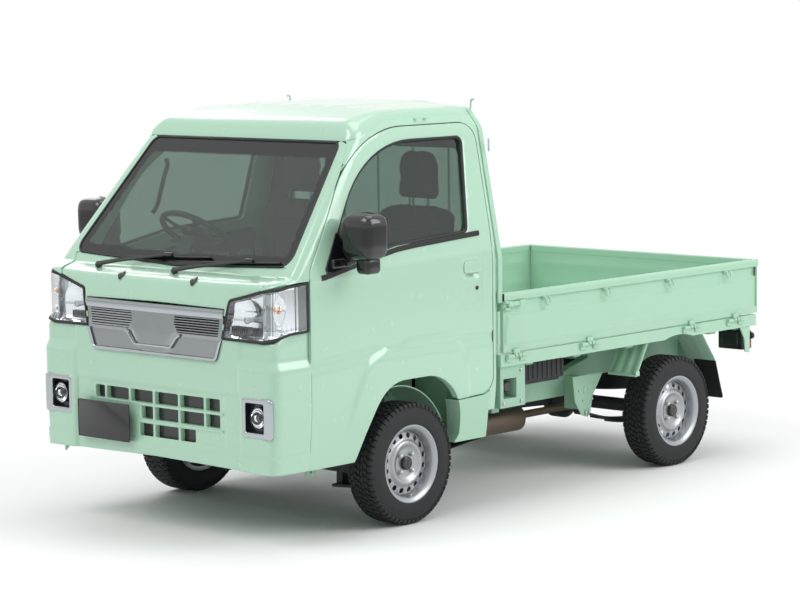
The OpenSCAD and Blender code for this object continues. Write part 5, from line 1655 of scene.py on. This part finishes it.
@dataclass(frozen=True)
class Gate:
    """A drop gate: pressed outer sheet, tube-like top rail, plain inner sheet, hooks and hinge tongues.

    It is drawn as a panel over (u along, v up) with w outwards, then stood in its place.
    """

    place: str

    @property
    def ends(self) -> tuple[float, float]:
        """Where the gate starts and ends along its length."""
        return (BEDS.front, BEDS.rear) if self.place != "tail" else (-(P.half - 36.5), P.half - 36.5)

    @property
    def body(self) -> str:
        """The body that the gate turns with."""
        return "rear_gate" if self.place == "tail" else f"{self.place}_side_gate"

    def stand(self, shape: Shape) -> Shape:
        """The shape moved from (along, up, out) to its side of the bed."""
        u, v, w = shape.points.T
        if self.place == "tail":
            return Shape(np.column_stack([-u, BEDS.rear + w, v]), shape.faces)
        left = Shape(np.column_stack([BEDS.out + w, u, v]), shape.faces)
        return left if self.place == "left" else left.mirrored()

    def face(self, u: Array, v: Array) -> Array:
        """Height of the outer sheet: a raised field with a slanted front end and a fold along its foot."""
        a, b = self.ends
        up = 1 - smoothstep(BEDS.crease, BEDS.crease + 13, v)
        slant = 0.30 * np.maximum(v - BEDS.crease + 60, 0)
        inside = smoothstep(0, 14, u - a - 8 - slant) * smoothstep(0, 14, b - 26 - u - 0.4 * slant)
        foot = smoothstep(BEDS.low + 26, BEDS.low + 36, v)
        line = np.exp(-((v - BEDS.low - 62) / 4.0) ** 2) * inside
        return -15 + 12.5 * up * inside * foot + 8.0 * (1 - foot) - 2.5 * line

    def build(self) -> None:
        """Makes the gate's pieces."""
        node = "tailgate" if self.place == "tail" else f"gate_{self.place}"
        a, b = self.ends
        pieces = [self.outer(), self.rail(), self.inner(), self.end_caps()]
        self.stand(joined(pieces)).build(f"{node}_pressing", BED, self.body, (node,), "body_paint")
        details = [self.tongue(u) for u in (BEDS.tail_hinges if self.place == "tail" else BEDS.hinges)]
        if self.place != "tail":
            details += [self.hook(u) for u in BEDS.hooks]
        self.stand(joined(details)).build(f"{node}_fittings", BED, self.body, smooth=50)
        latches = [self.latch(a, 1)] + ([self.latch(b, -1)] if self.place == "tail" else [])
        self.stand(joined(latches)).build(f"{node}_latches", BED, self.body, smooth=50)
        plugs = [rounded_box((a - 0.5, BEDS.top - 36, -25), (a + 5, BEDS.top - 2, -1), 4),
                 rounded_box((b - 5, BEDS.top - 36, -25), (b + 0.5, BEDS.top - 2, -1), 4)]
        if self.place != "tail":
            plugs.append(rounded_box((b - 30, BEDS.top - 82, -9), (b - 24, BEDS.top - 34, -3), 2))
        self.stand(joined(plugs)).build(f"{node}_rail_plugs", SEAL, self.body)

    def field(self, margin: float) -> Region:
        """The gate's sheet under the rail, set in from its ends."""
        a, b = self.ends[0] + margin, self.ends[1] - margin
        return Region(rectangle((a, BEDS.low), (b, BEDS.top - 30), 0))

    def outer(self) -> Shape:
        """The outer sheet."""
        def surface(u: Array, v: Array) -> Array:
            """The pressed face."""
            return np.stack([u, v, self.face(u, v)], -1)

        return trimmed(surface, self.field(1), 8.5, 2.5, 1.2)

    def inner(self) -> Shape:
        """The inner sheet, set in from the ends, with two long ribs."""
        a, b = self.ends

        def surface(u: Array, v: Array) -> Array:
            """The inner face, its ribs standing into the bed."""
            rib = np.exp(-((v - BEDS.low - 70) / 16) ** 4) + np.exp(-((v - BEDS.low - 175) / 16) ** 4)
            fade = smoothstep(a + 60, a + 110, u) * (1 - smoothstep(b - 110, b - 60, u))
            return np.stack([u, v, -24 - 3.5 * rib * fade], -1)

        made = trimmed(surface, self.field(2), 18, 0.0)
        return shell(made.flipped(), 6.0, 1.0)

    def rail(self) -> Shape:
        """The rolled top rail, like a tube with a flat inner side."""
        a, b = self.ends
        t = BEDS.top
        outline = bezier_corners([(-26, t - 38, 5), (0.5, t - 38, 8), (0.5, t, 13), (-26, t, 7)], 12)
        rings = np.stack([np.column_stack([np.full(len(outline), u), outline[:, 1], outline[:, 0]])
                          for u in np.linspace(a + 2, b - 2, 12)])
        return capped(rings)

    def end_caps(self) -> Shape:
        """Folded ends and foot that join the sheets."""
        a, b = self.ends
        return joined([rounded_box((a, BEDS.low, -25), (a + 6, BEDS.top - 30, -6), 1.5),
                       rounded_box((b - 6, BEDS.low, -25), (b, BEDS.top - 30, -6), 1.5),
                       rounded_box((a + 2, BEDS.low - 1, -25), (b - 2, BEDS.low + 5, -5), 1.5)])

    def tongue(self, u: float) -> Shape:
        """A hinge strap: a plate on the gate's foot with two folded knuckles round the pin."""
        w = 7.0 if self.place != "tail" else 1.5
        knuckle = joined([lathe([(u + k - 8, 6.2), (u + k - 8, 9.2), (u + k + 8, 9.2), (u + k + 8, 6.2),
                                 (u + k - 8, 6.2)], (0, P.deck + 4, w), "X", 24) for k in (-13, 13)])
        plate = rounded_box((u - 21, P.deck + 8, w - 12), (u + 21, BEDS.low + 12, w - 1), 2.5)
        return joined([knuckle, plate])

    def hook(self, u: float) -> Shape:
        """A rope hook: a bent rod, welded at its upper end."""
        v = BEDS.top - 50
        rod = tube([(u - 16, v + 8, -4), (u - 16, v + 6, 6), (u - 15, v - 10, 10), (u - 10, v - 22, 11),
                    (u + 2, v - 26, 11), (u + 12, v - 20, 11), (u + 15, v - 6, 9), (u + 15, v + 8, 3),
                    (u + 15, v + 9, -4)], 3.6, 36, up=(0.2, 0.3, 0.93), sides=10)
        pad = rounded_box((u - 24, v + 2, -6), (u + 22, v + 14, -0.5), 2)
        return rod + pad

    def latch(self, end: float, way: int) -> Shape:
        """A corner latch: base plate, pivot and a lever that lies along the gate."""
        v = BEDS.top - 62

        def box(u0: float, u1: float, v0: float, v1: float, w0: float, w1: float, r: float = 2.0) -> Shape:
            """A rounded block measured inwards from the gate's end."""
            a, b = sorted((end + way * u0, end + way * u1))
            return rounded_box((a, v0, w0), (b, v1, w1), r)

        lever = box(36, 132, v + 2, v + 22, 1, 9, 4)
        grip = box(96, 138, v, v + 26, 3, 13, 5)
        base = box(4, 66, v - 18, v + 30, -16, -3, 2)
        pivot = lathe([(-8, 0), (-8, 13), (10, 13), (12.5, 9), (12.5, 0)], (end + way * 34, v + 12, 0), "Z", 24)
        claw = joined([box(2, 34, v - 14, v - 3, -8, 9, 4), box(2, 24, v + 15, v + 27, -8, 9, 4)])
        screws = [bolt_head((end + way * k, v - 10, -3), "Z", 5) for k in (44, 58)]
        return joined([lever, grip, base, pivot, claw, *screws])


@dataclass(frozen=True)
class BedDeck:
    """Deck sheet with long grooves, hinge boxes on the sills, and the guard frame behind the cab."""

    def build(self) -> None:
        """Makes the pieces."""
        self.guard()
        self.hinge_boxes()
        self.sheet()

    def sheet(self) -> None:
        """A thin pressed sheet on the deck, its grooves running along the bed."""
        a, b, w = P.back + 26, P.tail - 40, P.half - 46
        line = np.array([(-w, a / 6), (w, a / 6), (w, b / 6), (-w, b / 6)], float)

        def surface(x: Array, reach: Array) -> Array:
            """Rows of flat-topped ribs, 2 mm high, with level ends; the cells are long along the bed."""
            y = reach * 6
            rib = smoothstep(-0.35, 0.35, np.sin(x / 90 * 2 * np.pi))
            fade = smoothstep(a + 10, a + 40, y) * (1 - smoothstep(b - 60, b - 30, y))
            return np.stack([x, y, P.deck + 1.0 + 2.2 * rib * fade], -1)

        trimmed(surface, Region(line), 11, 2.0, 0.6).build("deck_sheet", BED, "root")

    def guard(self) -> None:
        """The bolted frame behind the cab: a lower panel with ribs, two posts and a top bar of tube."""
        y = P.back + 17
        w, low, mid = P.half - 37, P.deck - 5, P.deck + 285
        line = bezier_corners([(-w, low, 3), (w, low, 3), (w, mid, 6), (-w, mid, 6)])

        def surface(u: Array, v: Array) -> Array:
            """The panel, seen from behind, with two level ribs."""
            rib = np.exp(-((v - low - 95) / 20) ** 4) + np.exp(-((v - low - 205) / 20) ** 4)
            return np.stack([-u, y + 3 + 4 * rib * (1 - smoothstep(w - 90, w - 50, np.abs(u))), v], -1)

        panel = trimmed(surface, Region(line), 13, 9.0, 1.5)
        h = P.high
        arch = bezier_corners([(P.half - 18, mid - 40, 0), (P.half - 18, h - 693, 130), (P.half - 128, h - 122, 55),
                               (P.half - 195, h - 43, 50), (255, h - 17, 300), (-255, h - 17, 300),
                               (-(P.half - 195), h - 43, 50), (-(P.half - 128), h - 122, 55),
                               (-(P.half - 18), h - 693, 130), (-(P.half - 18), mid - 40, 0)], 4)
        path = np.column_stack([arch[:, 0], np.full(len(arch), y), arch[:, 1]])
        arch_bar = sweep(path, rectangle((-6.5, -15), (6.5, 15), 5, 15), (0, 1, 0))
        bars = [tube([(x, y, mid - 20), (x, y, h - 60)], 6.5, 8, up=(1, 0, 0)) for x in (-430, -215, 0, 215, 430)]
        rail = rounded_box((-w, y - 6, mid - 8), (w, y + 8, mid + 14), 4)
        catches = [rounded_box((a - 5, y + 6, mid - z0), (a + 5, y + d, mid - z1), 3) for a in (-692, 692)
                   for z0, z1, d in ((230, 20, 14), (84, 40, 30), (62, 54, 40))]
        joined([panel, arch_bar, *bars, rail, *catches, *self.hooks(y)]).build(
            "guard_frame_welded", BED, "root", ("guard_frame",), "chassis_paint", smooth=45)

    def hooks(self, y: float) -> list[Shape]:
        """Rope hooks at the top corners and on the posts."""
        out = []
        for way in (1, -1):
            x, z = way * (P.half - 175), P.high - 30
            out.append(tube([(x, y - 4, z - 16), (x, y, z + 6), (x, y + 2, z + 24), (x + way * 8, y + 2, z + 31),
                             (x + way * 18, y + 2, z + 29)], 4.5, 20, sides=10))
            x = way * (P.half - 78)
            out.append(rounded_box((x - 4, y + 2, 1572), (x + 4, y + 9, 1630), 2.5))
        return out

    def hinge_boxes(self) -> None:
        """Two lugs and a pin at each side hinge."""
        shapes, pins = [], []
        z = P.deck + 4
        for u in BEDS.hinges:
            for k in (-1, 1):
                a, b = sorted((u + k * 26.5, u + k * 68))
                shapes.append(rounded_box((BEDS.sill - 3, a, z - 9), (P.half + 13, b, z + 6), 3.5, 3))
                shapes.append(rounded_box((BEDS.sill - 3, a, z - 28), (P.half + 2, b, z - 4), 3.5, 3))
            pins.append(lathe([(u - 60, 0), (u - 60, 4.9), (u + 60, 4.9), (u + 60, 0)], (P.half + 4.5, 0, z), "Y", 16))
        joined(shapes).pair().build("side_hinge_boxes", BED, "root", smooth=50)
        joined(pins).pair().build("side_hinge_pins", BOLT, "root")


@dataclass(frozen=True)
class RearEnd:
    """Mudguards, flaps, and tail lamps with their posts, backs and stoppers."""

    def build(self) -> None:
        """Makes the pieces."""
        self.mudguards()
        self.tail_lamps()

    def mudguards(self) -> None:
        """A corrugated sheet before each wheel, a plain one behind it and a rubber flap."""
        r = P.rear_axle
        x0, x1 = P.half - 180, P.half - 14
        top = P.deck - 44

        def sheet(foot: tuple, head: tuple, depth: float, step: float = 6.0) -> Shape:
            """A sheet between two levels, its corrugations running up it."""
            line = np.array([(x0, 0), (x1, 0), (x1, 1), (x0, 1)], float) * (1, 100)

            def surface(u: Array, v: Array) -> Array:
                """A straight slope with a sine across it, along its own normal."""
                t = v / 100
                y = foot[0] + (head[0] - foot[0]) * t
                z = foot[1] + (head[1] - foot[1]) * t
                slope = np.array([head[1] - foot[1], foot[0] - head[0]], float)
                slope /= np.linalg.norm(slope)
                wave = depth * smoothstep(-0.3, 0.3, np.sin((u - x0) / 55 * 2 * np.pi)) * smoothstep(0.03, 0.14, t)
                return np.stack([u, y + wave * slope[0], z + wave * slope[1]], -1)

            made = trimmed(surface, Region(line), step, 0.0)
            return shell(made, 3.0, 0.8)

        front = sheet((r - 326, 470), (r - 240, top), 7.0)
        rear = sheet((r + 305, 472), (r + 195, top), 1.5)
        lips = [rounded_box((x0, r - 332, 464), (x1, r - 318, 474), 2),
                rounded_box((x1 - 4, r - 330, 466), (x1, r - 300, 490), 1.5)]
        joined([front, rear, *lips]).pair().build("rear_mudguards_pressed", BED, "root", ("rear_mudguards",),
                                                  "chassis_paint", smooth=50)
        flap_line = bezier_corners([(x0 + 40, 0, 10), (x1, 0, 10), (x1, 192, 2), (x0 + 40, 192, 2)])

        def flap(u: Array, v: Array) -> Array:
            """A hanging sheet that curls slightly at its foot."""
            t = v / 192
            return np.stack([u, r + 363 - 56 * t + 6 * (1 - t) ** 2, 286 + 188 * t], -1)

        made = trimmed(flap, Region(flap_line), 8, 0.0)
        shell(made.flipped(), 4.0, 1.5).pair().build("mud_flaps", SEAL, "root", smooth=50)
        bolts = [bolt_head((x, r - 322, 480), "Y", 6).turned("X", 180, (x, r - 322, 480)) for x in (x0 + 18, x1 - 18)]
        bolts += [bolt_head((x, r + 309, 484), "Y", 6) for x in (x0 + 55, x1 - 18)]
        joined(bolts).pair().build("mudguard_bolts", BOLT, "root")

    def tail_lamps(self) -> None:
        """Lamp bodies with clear, amber and red lenses, their posts and backs, and the rubber stoppers."""
        x0, x1, t = P.half - 168, P.half - 32, P.tail
        body = rounded_box((x0 - 3, t - 60, 497), (x1 + 3, t - 40, 593), 6, 3)
        body.pair().build("tail_lamp_bodies", LAMP_BLACK, "root", ("tail_lamps",), "red_lens")

        def lens(a: float, b: float, name: str, finish: Finish) -> None:
            """One section of the lens with fine level flutes."""
            line = rectangle((a, 502), (b, 588), 4)

            def surface(u: Array, v: Array) -> Array:
                """The face, curved a little from end to end."""
                return np.stack([-u + a + b, t - 26 - 3 * ((u - (a + b) / 2) / 70) ** 2 + 0.7 * np.sin(v / 1.9), v], -1)

            trimmed(surface, Region(line), 4, 14.0, 2.0).pair().build(name, finish, "root", smooth=50)

        lens(x0, x0 + 40, "reversing_lenses", LENS)
        lens(x0 + 42, x0 + 84, "tail_indicator_lenses", AMBER)
        lens(x0 + 86, x1, "tail_lenses", RED)
        post = prism(bezier_corners([(t - 150, 620, 2), (t - 112, 560, 20), (t - 104, 492, 6), (t - 68, 484, 4),
                                     (t - 66, 620, 2)]), "yz", P.half - 20, P.half - 12, 1.5)
        post.pair().build("tail_posts", BED, "root")
        box = rounded_box((x0 - 4, t - 112, 500), (x1 + 8, t - 60, P.deck - 44), 6, 3)
        lid = rounded_box((x0 + 20, t - 118, 520), (x1 - 20, t - 108, 590), 4)
        (box + lid).pair().build("tail_lamp_backs", LAMP_BLACK, "root")
        stop = lathe([(t - 66, 0), (t - 66, 9), (t - 54, 9), (t - 52, 17), (t - 34, 17), (t - 30, 13), (t - 30, 0)],
                     (P.half - 24, 0, 566), "Y", 24)
        stop.pair().build("tail_stoppers", SEAL, "root")


@dataclass(frozen=True)
class Underside:
    """Spring hanger plates, air cleaner, fuel filler and their bolts along the frame."""

    def build(self) -> None:
        """Makes the pieces."""
        r = P.rear_axle
        plate = prism(bezier_corners([(r - 530, 352, 24), (r - 480, 282, 16), (r - 436, 268, 12), (r - 414, 286, 14),
                                      (r - 396, 366, 40), (r - 318, 470, 2), (r - 546, 470, 2)]), "yz", 512, 517, 1.0)
        bores = lathe([(517, 12), (522, 12), (523, 9), (517.5, 9), (517, 12)], (0, r - 450, 292), count=32)
        hole = lathe([(516, 19), (519, 19), (519, 15), (516, 15), (516, 19)], (0, r - 450, 400), count=32)
        joined([plate, bores, hole]).pair().build("spring_hanger_plates", CHASSIS, "root", smooth=50)
        bolt = bolt_head((518, r - 450, 292), "X", 13) + bolt_head((522, r - 450, 292), "X", 8)
        small = [bolt_head((516.5, y, z), "X", 6) for y, z in ((r - 500, 400), (r - 400, 352), (r - 470, 352))]
        joined([bolt, *small]).pair().build("hanger_bolts", BOLT, "root")
        b = P.back
        cap = lathe([(P.half - 70, 0), (P.half - 70, 26), (P.half - 40, 26), (P.half - 34, 20), (P.half - 34, 0)],
                    (0, b + 85, 520), count=32)
        cleaner = [rounded_box((430, b + 330, 500), (600, b + 620, 602), 14, 3),
                   rounded_box((446, b + 352, 488), (584, b + 598, 504), 5)]
        cleaner += [rounded_box((596, y, 512), (604, y + 9, 594), 2) for y in np.arange(b + 352.0, b + 600, 34)]
        hose = tube([(500, b + 340, 560), (500, b + 262, 570), (470, b + 190, 556), (420, b + 150, 540)], 27, 24,
                    sides=16)
        joined([*cleaner, hose]).build("air_cleaner", IRON, "root", smooth=50)
        neck = tube([(P.half - 150, b + 85, 500), (P.half - 100, b + 85, 514), (P.half - 60, b + 85, 520)], 20, 10)
        (cap + neck).build("fuel_filler", GLOSS, "root")
        rims = [bolt_head((P.half - 20, y, z), "X", 8) for y, z in ((b + 40, 450), (b + 160, 450), (b + 160, 590))]
        joined(rims).build("corner_bracket_bolts", BOLT, "root")


@dataclass(frozen=True)
class Pad:
    """A padded piece: a cover cut as a rounded block, blown up as cloth, then sewn down along its channels.

    Each channel is (axis, place, half width): a groove all round the cover at that place of the axis.
    """

    name: str
    low: tuple
    high: tuple
    radius: float
    channels: tuple = ()
    lean: float = 0.0
    fill: float = 0.8
    cap: float = 11.0
    crown: float = 0.0
    margin: float = 6.0

    def build(self) -> None:
        """Makes the left seat's piece and its mirror."""
        block = rounded_box(tuple(np.array(self.low) + self.margin), tuple(np.array(self.high) - self.margin),
                            self.radius, 5)
        shape = self.sewn(self.blown(block))
        about = ((self.low[0] + self.high[0]) / 2, (self.low[1] + self.high[1]) / 2, self.low[2])
        shape = shape.turned("X", self.lean, about)
        for side, piece in (("left", shape), ("right", shape.mirrored())):
            replaced = ("seats",) if self.name == "seat_cushion" and side == "left" else ()
            made = piece.build(f"{self.name}_{side}", CLOTH, "root", replaced, "seat_fabric" if replaced else "",
                               smooth=70)

    def blown(self, block: Shape) -> Shape:
        """The block remeshed to even cells and blown up by cloth simulation."""
        scene = bpy.context.scene
        cover = placed("cover", block.mesh("cover"))
        remesh = cover.modifiers.new("remesh", "REMESH")
        remesh.mode, remesh.voxel_size = "VOXEL", VOXEL
        smooth = cover.modifiers.new("ease", "SMOOTH")
        smooth.factor, smooth.iterations = 0.5, 6
        start = self.rounded(self.read(cover))
        cover.data = start.mesh("cover")
        cover.modifiers.clear()
        cloth = cover.modifiers.new("cloth", "CLOTH")
        cloth.settings.use_pressure = True
        cloth.settings.uniform_pressure_force = PRESSURE
        cloth.settings.effector_weights.gravity = 0.0
        for k in range(1, CLOTH_FRAMES + 1):
            scene.frame_set(k)
        moved = self.read(cover).points - start.points
        far = np.maximum(np.linalg.norm(moved, axis=1, keepdims=True), 1e-9)
        start = Shape(start.points + moved * np.minimum(1.0, self.cap / far), start.faces)
        scene.frame_set(1)
        bpy.data.objects.remove(cover)
        return start

    def rounded(self, shape: Shape) -> Shape:
        """The cover drawn in towards its top along an ellipse as high as the crown."""
        if self.crown == 0.0:
            return shape
        mid = (self.low[0] + self.high[0]) / 2
        rise = np.clip((shape.points[:, 2] - self.high[2] + self.crown) / self.crown, 0, 1)
        keep = np.sqrt(1 - 0.9 * rise ** 2.4)
        points = shape.points.copy()
        points[:, 0] = mid + (points[:, 0] - mid) * keep
        return Shape(points, shape.faces)

    @staticmethod
    def read(cover: bpy.types.Object) -> Shape:
        """The object's evaluated mesh as a shape, in millimetres."""
        seen = cover.evaluated_get(bpy.context.evaluated_depsgraph_get())
        mesh = seen.to_mesh()
        points = np.empty(len(mesh.vertices) * 3)
        mesh.vertices.foreach_get("co", points)
        sizes = np.empty(len(mesh.polygons), int)
        mesh.polygons.foreach_get("loop_total", sizes)
        corners = np.empty(len(mesh.loops), int)
        mesh.loops.foreach_get("vertex_index", corners)
        starts = np.cumsum(sizes) - sizes
        faces = [corners[starts[sizes == n][:, None] + np.arange(n)] for n in (3, 4) if (sizes == n).any()]
        seen.to_mesh_clear()
        return Shape(points.reshape(-1, 3) / MM, faces)

    def sewn(self, shape: Shape) -> Shape:
        """The cover with a groove pressed in along each channel."""
        normal = normals_of(shape.points, shape.faces)
        depth = np.zeros(len(shape.points))
        for axis, place, wide in self.channels:
            depth = np.maximum(depth, SEW_DEPTH * np.exp(-((shape.points[:, axis] - place) / wide) ** 2))
        return Shape(shape.points - normal * depth[:, None], shape.faces)


@dataclass(frozen=True)
class Seats:
    """Two seats: cushion, back and headrest as padded pieces, with posts and hinge covers."""

    low: tuple = tuple(corner_mm("seats", 0))
    high: tuple = tuple(corner_mm("seats", 1))

    def build(self) -> None:
        """Makes both seats."""
        z = self.low[2]
        x0, x1 = self.high[0] - 470, self.high[0]
        mid = (x0 + x1) / 2
        front, back = self.low[1], P.back - 150
        Pad("seat_cushion", (x0, front, z + 2), (x1, back - 45, z + 120), 34,
            ((0, mid - 130, 7), (0, mid + 130, 7), (1, front + 95, 7), (2, z + 34, 5))).build()
        Pad("seat_back", (x0 + 10, back - 42, z + 112), (x1 - 10, back + 50, z + 558), 36,
            ((0, mid - 120, 7), (0, mid + 120, 7), (2, z + 440, 7), (1, back + 26, 5)), -3.0, crown=70.0).build()
        Pad("seat_headrest", (mid - 118, back + 6, z + 562), (mid + 118, back + 74, z + 795), 30,
            ((1, back + 54, 5),), fill=0.9, crown=110.0).build()
        posts = [tube([(mid + s * 55, back + 38, z + 520), (mid + s * 55, back + 40, z + 640)], 6, 6, up=(1, 0, 0))
                 for s in (-1, 1)]
        joined(posts).pair().build("headrest_posts", CHROME, "root")
        covers = [rounded_box((x - 9, back - 70, z - 2), (x + 9, back + 24, z + 86), 8, 3) for x in (x0 + 12, x1 - 12)]
        joined(covers).pair().build("seat_hinge_covers", TRIM, "root")


@dataclass(frozen=True)
class Dashboard:
    """The dashboard moulding with its hood, dials, vents, radio and heater knobs."""

    node: tuple = (tuple(corner_mm("dashboard", 0)), tuple(corner_mm("dashboard", 1)))

    def build(self) -> None:
        """Makes the pieces."""
        (_, n, low), (w, far, top) = self.node
        line = bezier_corners([(n + 4, low + 6, 4), (far - 125, low + 2, 20), (far - 22, low + 84, 30),
                               (far - 2, top - 66, 12), (far - 14, top - 14, 14), (far - 60, top - 2, 26),
                               (n + 4, top - 2, 4)])
        body = prism(line, "yz", -w + 3, w - 3, 6)
        shelf = rounded_box((20, far - 60, low + 96), (w - 30, far - 2, low + 112), 5)
        hood = prism(bezier_corners([(far - 150, top - 30, 4), (far - 16, top - 30, 6), (far + 2, top + 34, 16),
                                     (far - 50, top + 46, 40), (far - 150, top + 4, 30)]), "yz", -500, -210, 12)
        joined([body, shelf, hood]).build("dashboard_moulding", TRIM, "root", ("dashboard",), "dark_plastic", smooth=45)
        dials = [lathe([(far - 14, 0), (far - 14, r), (far - 2, r + 1), (far - 4, r - 3), (far - 8, r - 5),
                        (far - 8, 0)], (x, 0, top - 26), "Y", 48)
                 for x, r in ((-355, 44), (-265, 30), (-445, 30))]
        vents = [self.vent(x, far, top) for x in (-600, -80, 80, 600)]
        radio = rounded_box((-95, far - 20, low + 128), (95, far + 3, low + 178), 3)
        knobs = [lathe([(far - 30, 0), (far - 30, 17), (far - 12, 16), (far - 10, 13), (far - 10, 0)],
                       (x, 0, low + 100), "Y", 32) for x in (-60, 0, 60)]
        joined([*dials, *vents, radio, *knobs]).build("dashboard_controls", GLOSS, "root")
        self.column()
        self.levers()

    @staticmethod
    def vent(x: float, far: float, top: float) -> Shape:
        """A square air vent with four blades."""
        rim = rounded_box((x - 40, far - 22, top - 62), (x + 40, far - 5, top - 56), 2)
        head = rounded_box((x - 40, far - 26, top - 18), (x + 40, far - 12, top - 12), 2)
        blades = [rounded_box((x - 37, far - 20, top - 54 + 9 * k), (x + 37, far - 6, top - 51 + 9 * k), 1)
                  for k in range(4)]
        return joined([rim, head, *blades])

    def column(self) -> None:
        """The column's shrouds and two stalks, in the wheel's own leaning frame."""
        at, lean = SteeringWheel().centre, -(90 - SteeringWheel().rake)
        shroud = rounded_box((-48, -44, -150), (48, 44, -26), 18, 4)
        key = lathe([(46, 0), (46, 15), (58, 14), (60, 0)], (0, -12, -95), "X", 24)
        stalks = joined([tube([(s * 40, 6, -44), (s * 90, 8, -40), (s * 138, 10, -34)], 5, 14, up=(0, 0, 1), sides=12)
                         + rounded_box((s * 140 - 16, 3, -41), (s * 140 + 16, 17, -27), 6, 3) for s in (-1, 1)])
        lower = rounded_box((-24, -24, -400), (24, 24, -140), 10)
        made = joined([shroud, key, stalks, lower]).turned("X", lean).shifted(*at)
        made.build("steering_column_shroud", TRIM, "root", ("steering_column",), "dark_plastic", smooth=45)

    @staticmethod
    def levers() -> None:
        """Gear lever and hand brake."""
        f = P.nose
        gear = tube([(0, f + 700, 705), (-4, f + 690, 800), (-14, f + 660, 880)], 6, 16, up=(1, 0, 0))
        boot = lathe([(700, 0), (700, 42), (712, 40), (740, 16), (760, 11), (760, 0)], (0, f + 700, 0), "Z", 32)
        knob = lathe([(872, 0), (872, 12), (884, 21), (902, 21), (912, 12), (913, 0)], (-14, f + 659, 0), "Z", 32)
        brake = tube([(60, f + 860, 716), (60, f + 800, 760), (60, f + 720, 800)], 9, 12, up=(1, 0, 0))
        joined([gear, boot, knob, brake]).build("levers", TRIM, "root", smooth=50)


@dataclass(frozen=True)
class SteeringWheel:
    """A four-spoke wheel: thick rim, spokes that dip to a blank pad."""

    centre: tuple = (-355.0, P.nose + 620.0, 1212.0)
    rake: float = 52.0
    radius: float = 171.0

    def build(self) -> None:
        """Makes the wheel."""
        a = np.linspace(0, 2 * np.pi, 96, endpoint=False)
        ring = self.radius * np.column_stack([np.cos(a), np.sin(a), 0 * a])
        rim = sweep(ring, circle(13.2, 16), (0, 0, 1), closed=True)
        pad = prism(bezier_corners([(-62, -50, 26), (62, -50, 26), (70, 20, 26), (40, 46, 30), (-40, 46, 30),
                                    (-70, 20, 26)]), "xy", -16, 16, 9)
        spokes = [sweep(curve([(48 * math.cos(t), 48 * math.sin(t), -2), (105 * math.cos(t), 105 * math.sin(t), -7),
                               (166 * math.cos(t), 166 * math.sin(t), 0)], 12), circle(15, 16, 0.42), (0, 0, 1))
                  for t in np.radians([12, 168, 232, 308])]
        boss = lathe([(-18, 0), (-18, 32), (-4, 32), (-4, 0)], (0, 0, 0), "Z", 32)
        made = joined([rim, pad, *spokes, boss])
        made = made.turned("X", -(90 - self.rake)).shifted(*self.centre)
        made.build("steering_wheel_moulding", TRIM, "steering_wheel_turning", ("steering_wheel",), "dark_plastic",
                   smooth=50)


@dataclass(frozen=True)
class CabFittings:
    """Camera box, inner mirror and grab handle."""

    def build(self) -> None:
        """Makes the pieces."""
        f, h = P.nose, P.high
        box = rounded_box((-74, f + 640, h - 128), (74, f + 716, h - 84), 12, 3)
        slots = [rounded_box((x - 3, f + 632, h - 118), (x + 3, f + 644, h - 92), 1.5)
                 for x in (-54, -42, -30, 30, 42, 54)]
        eye = lathe([(f + 626, 0), (f + 626, 12), (f + 644, 15), (f + 644, 0)], (0, 0, h - 106), "Y", 32)
        joined([box, *slots, eye]).build("camera_box", LAMP_BLACK, "root")
        mirror = rounded_box((-110, f + 742, h - 190), (110, f + 758, h - 128), 7, 3)
        stem = tube([(0, f + 752, h - 130), (0, f + 740, h - 90), (0, f + 720, h - 60)], 6, 8, up=(1, 0, 0))
        (mirror + stem).build("inner_mirror", GLOSS, "root")
        grab = tube([(-612, f + 590, 1300), (-596, f + 602, 1330), (-592, f + 616, 1372), (-584, f + 640, 1460),
                     (-578, f + 656, 1512), (-590, f + 662, 1540)], 10, 30, up=(1, 0, 0), sides=14)
        grab.build("grab_handle", TRIM, "root")


PARTS = (*[Wheel(f"{end}_{side}", 1 if side == "left" else -1) for end in ("front", "rear")
           for side in ("left", "right")],
         CabShell(), Door("left"), Door("right"), DoorMirror("left"), DoorMirror("right"),
         NoseSkin(), Grille(), FogLamp(), HeadLamp(), Wipers(), Gate("left"), Gate("right"), Gate("tail"),
         BedDeck(), RearEnd(), Underside(), Seats(), Dashboard(), SteeringWheel(), CabFittings())


def main() -> None:
    """Builds every part in order and logs each piece."""
    logging.basicConfig(level=logging.INFO, format="%(name)s: %(message)s")
    Studio().build()
    Kept().build()
    for part in PARTS:
        part.build()


if __name__ == "__main__":
    main()
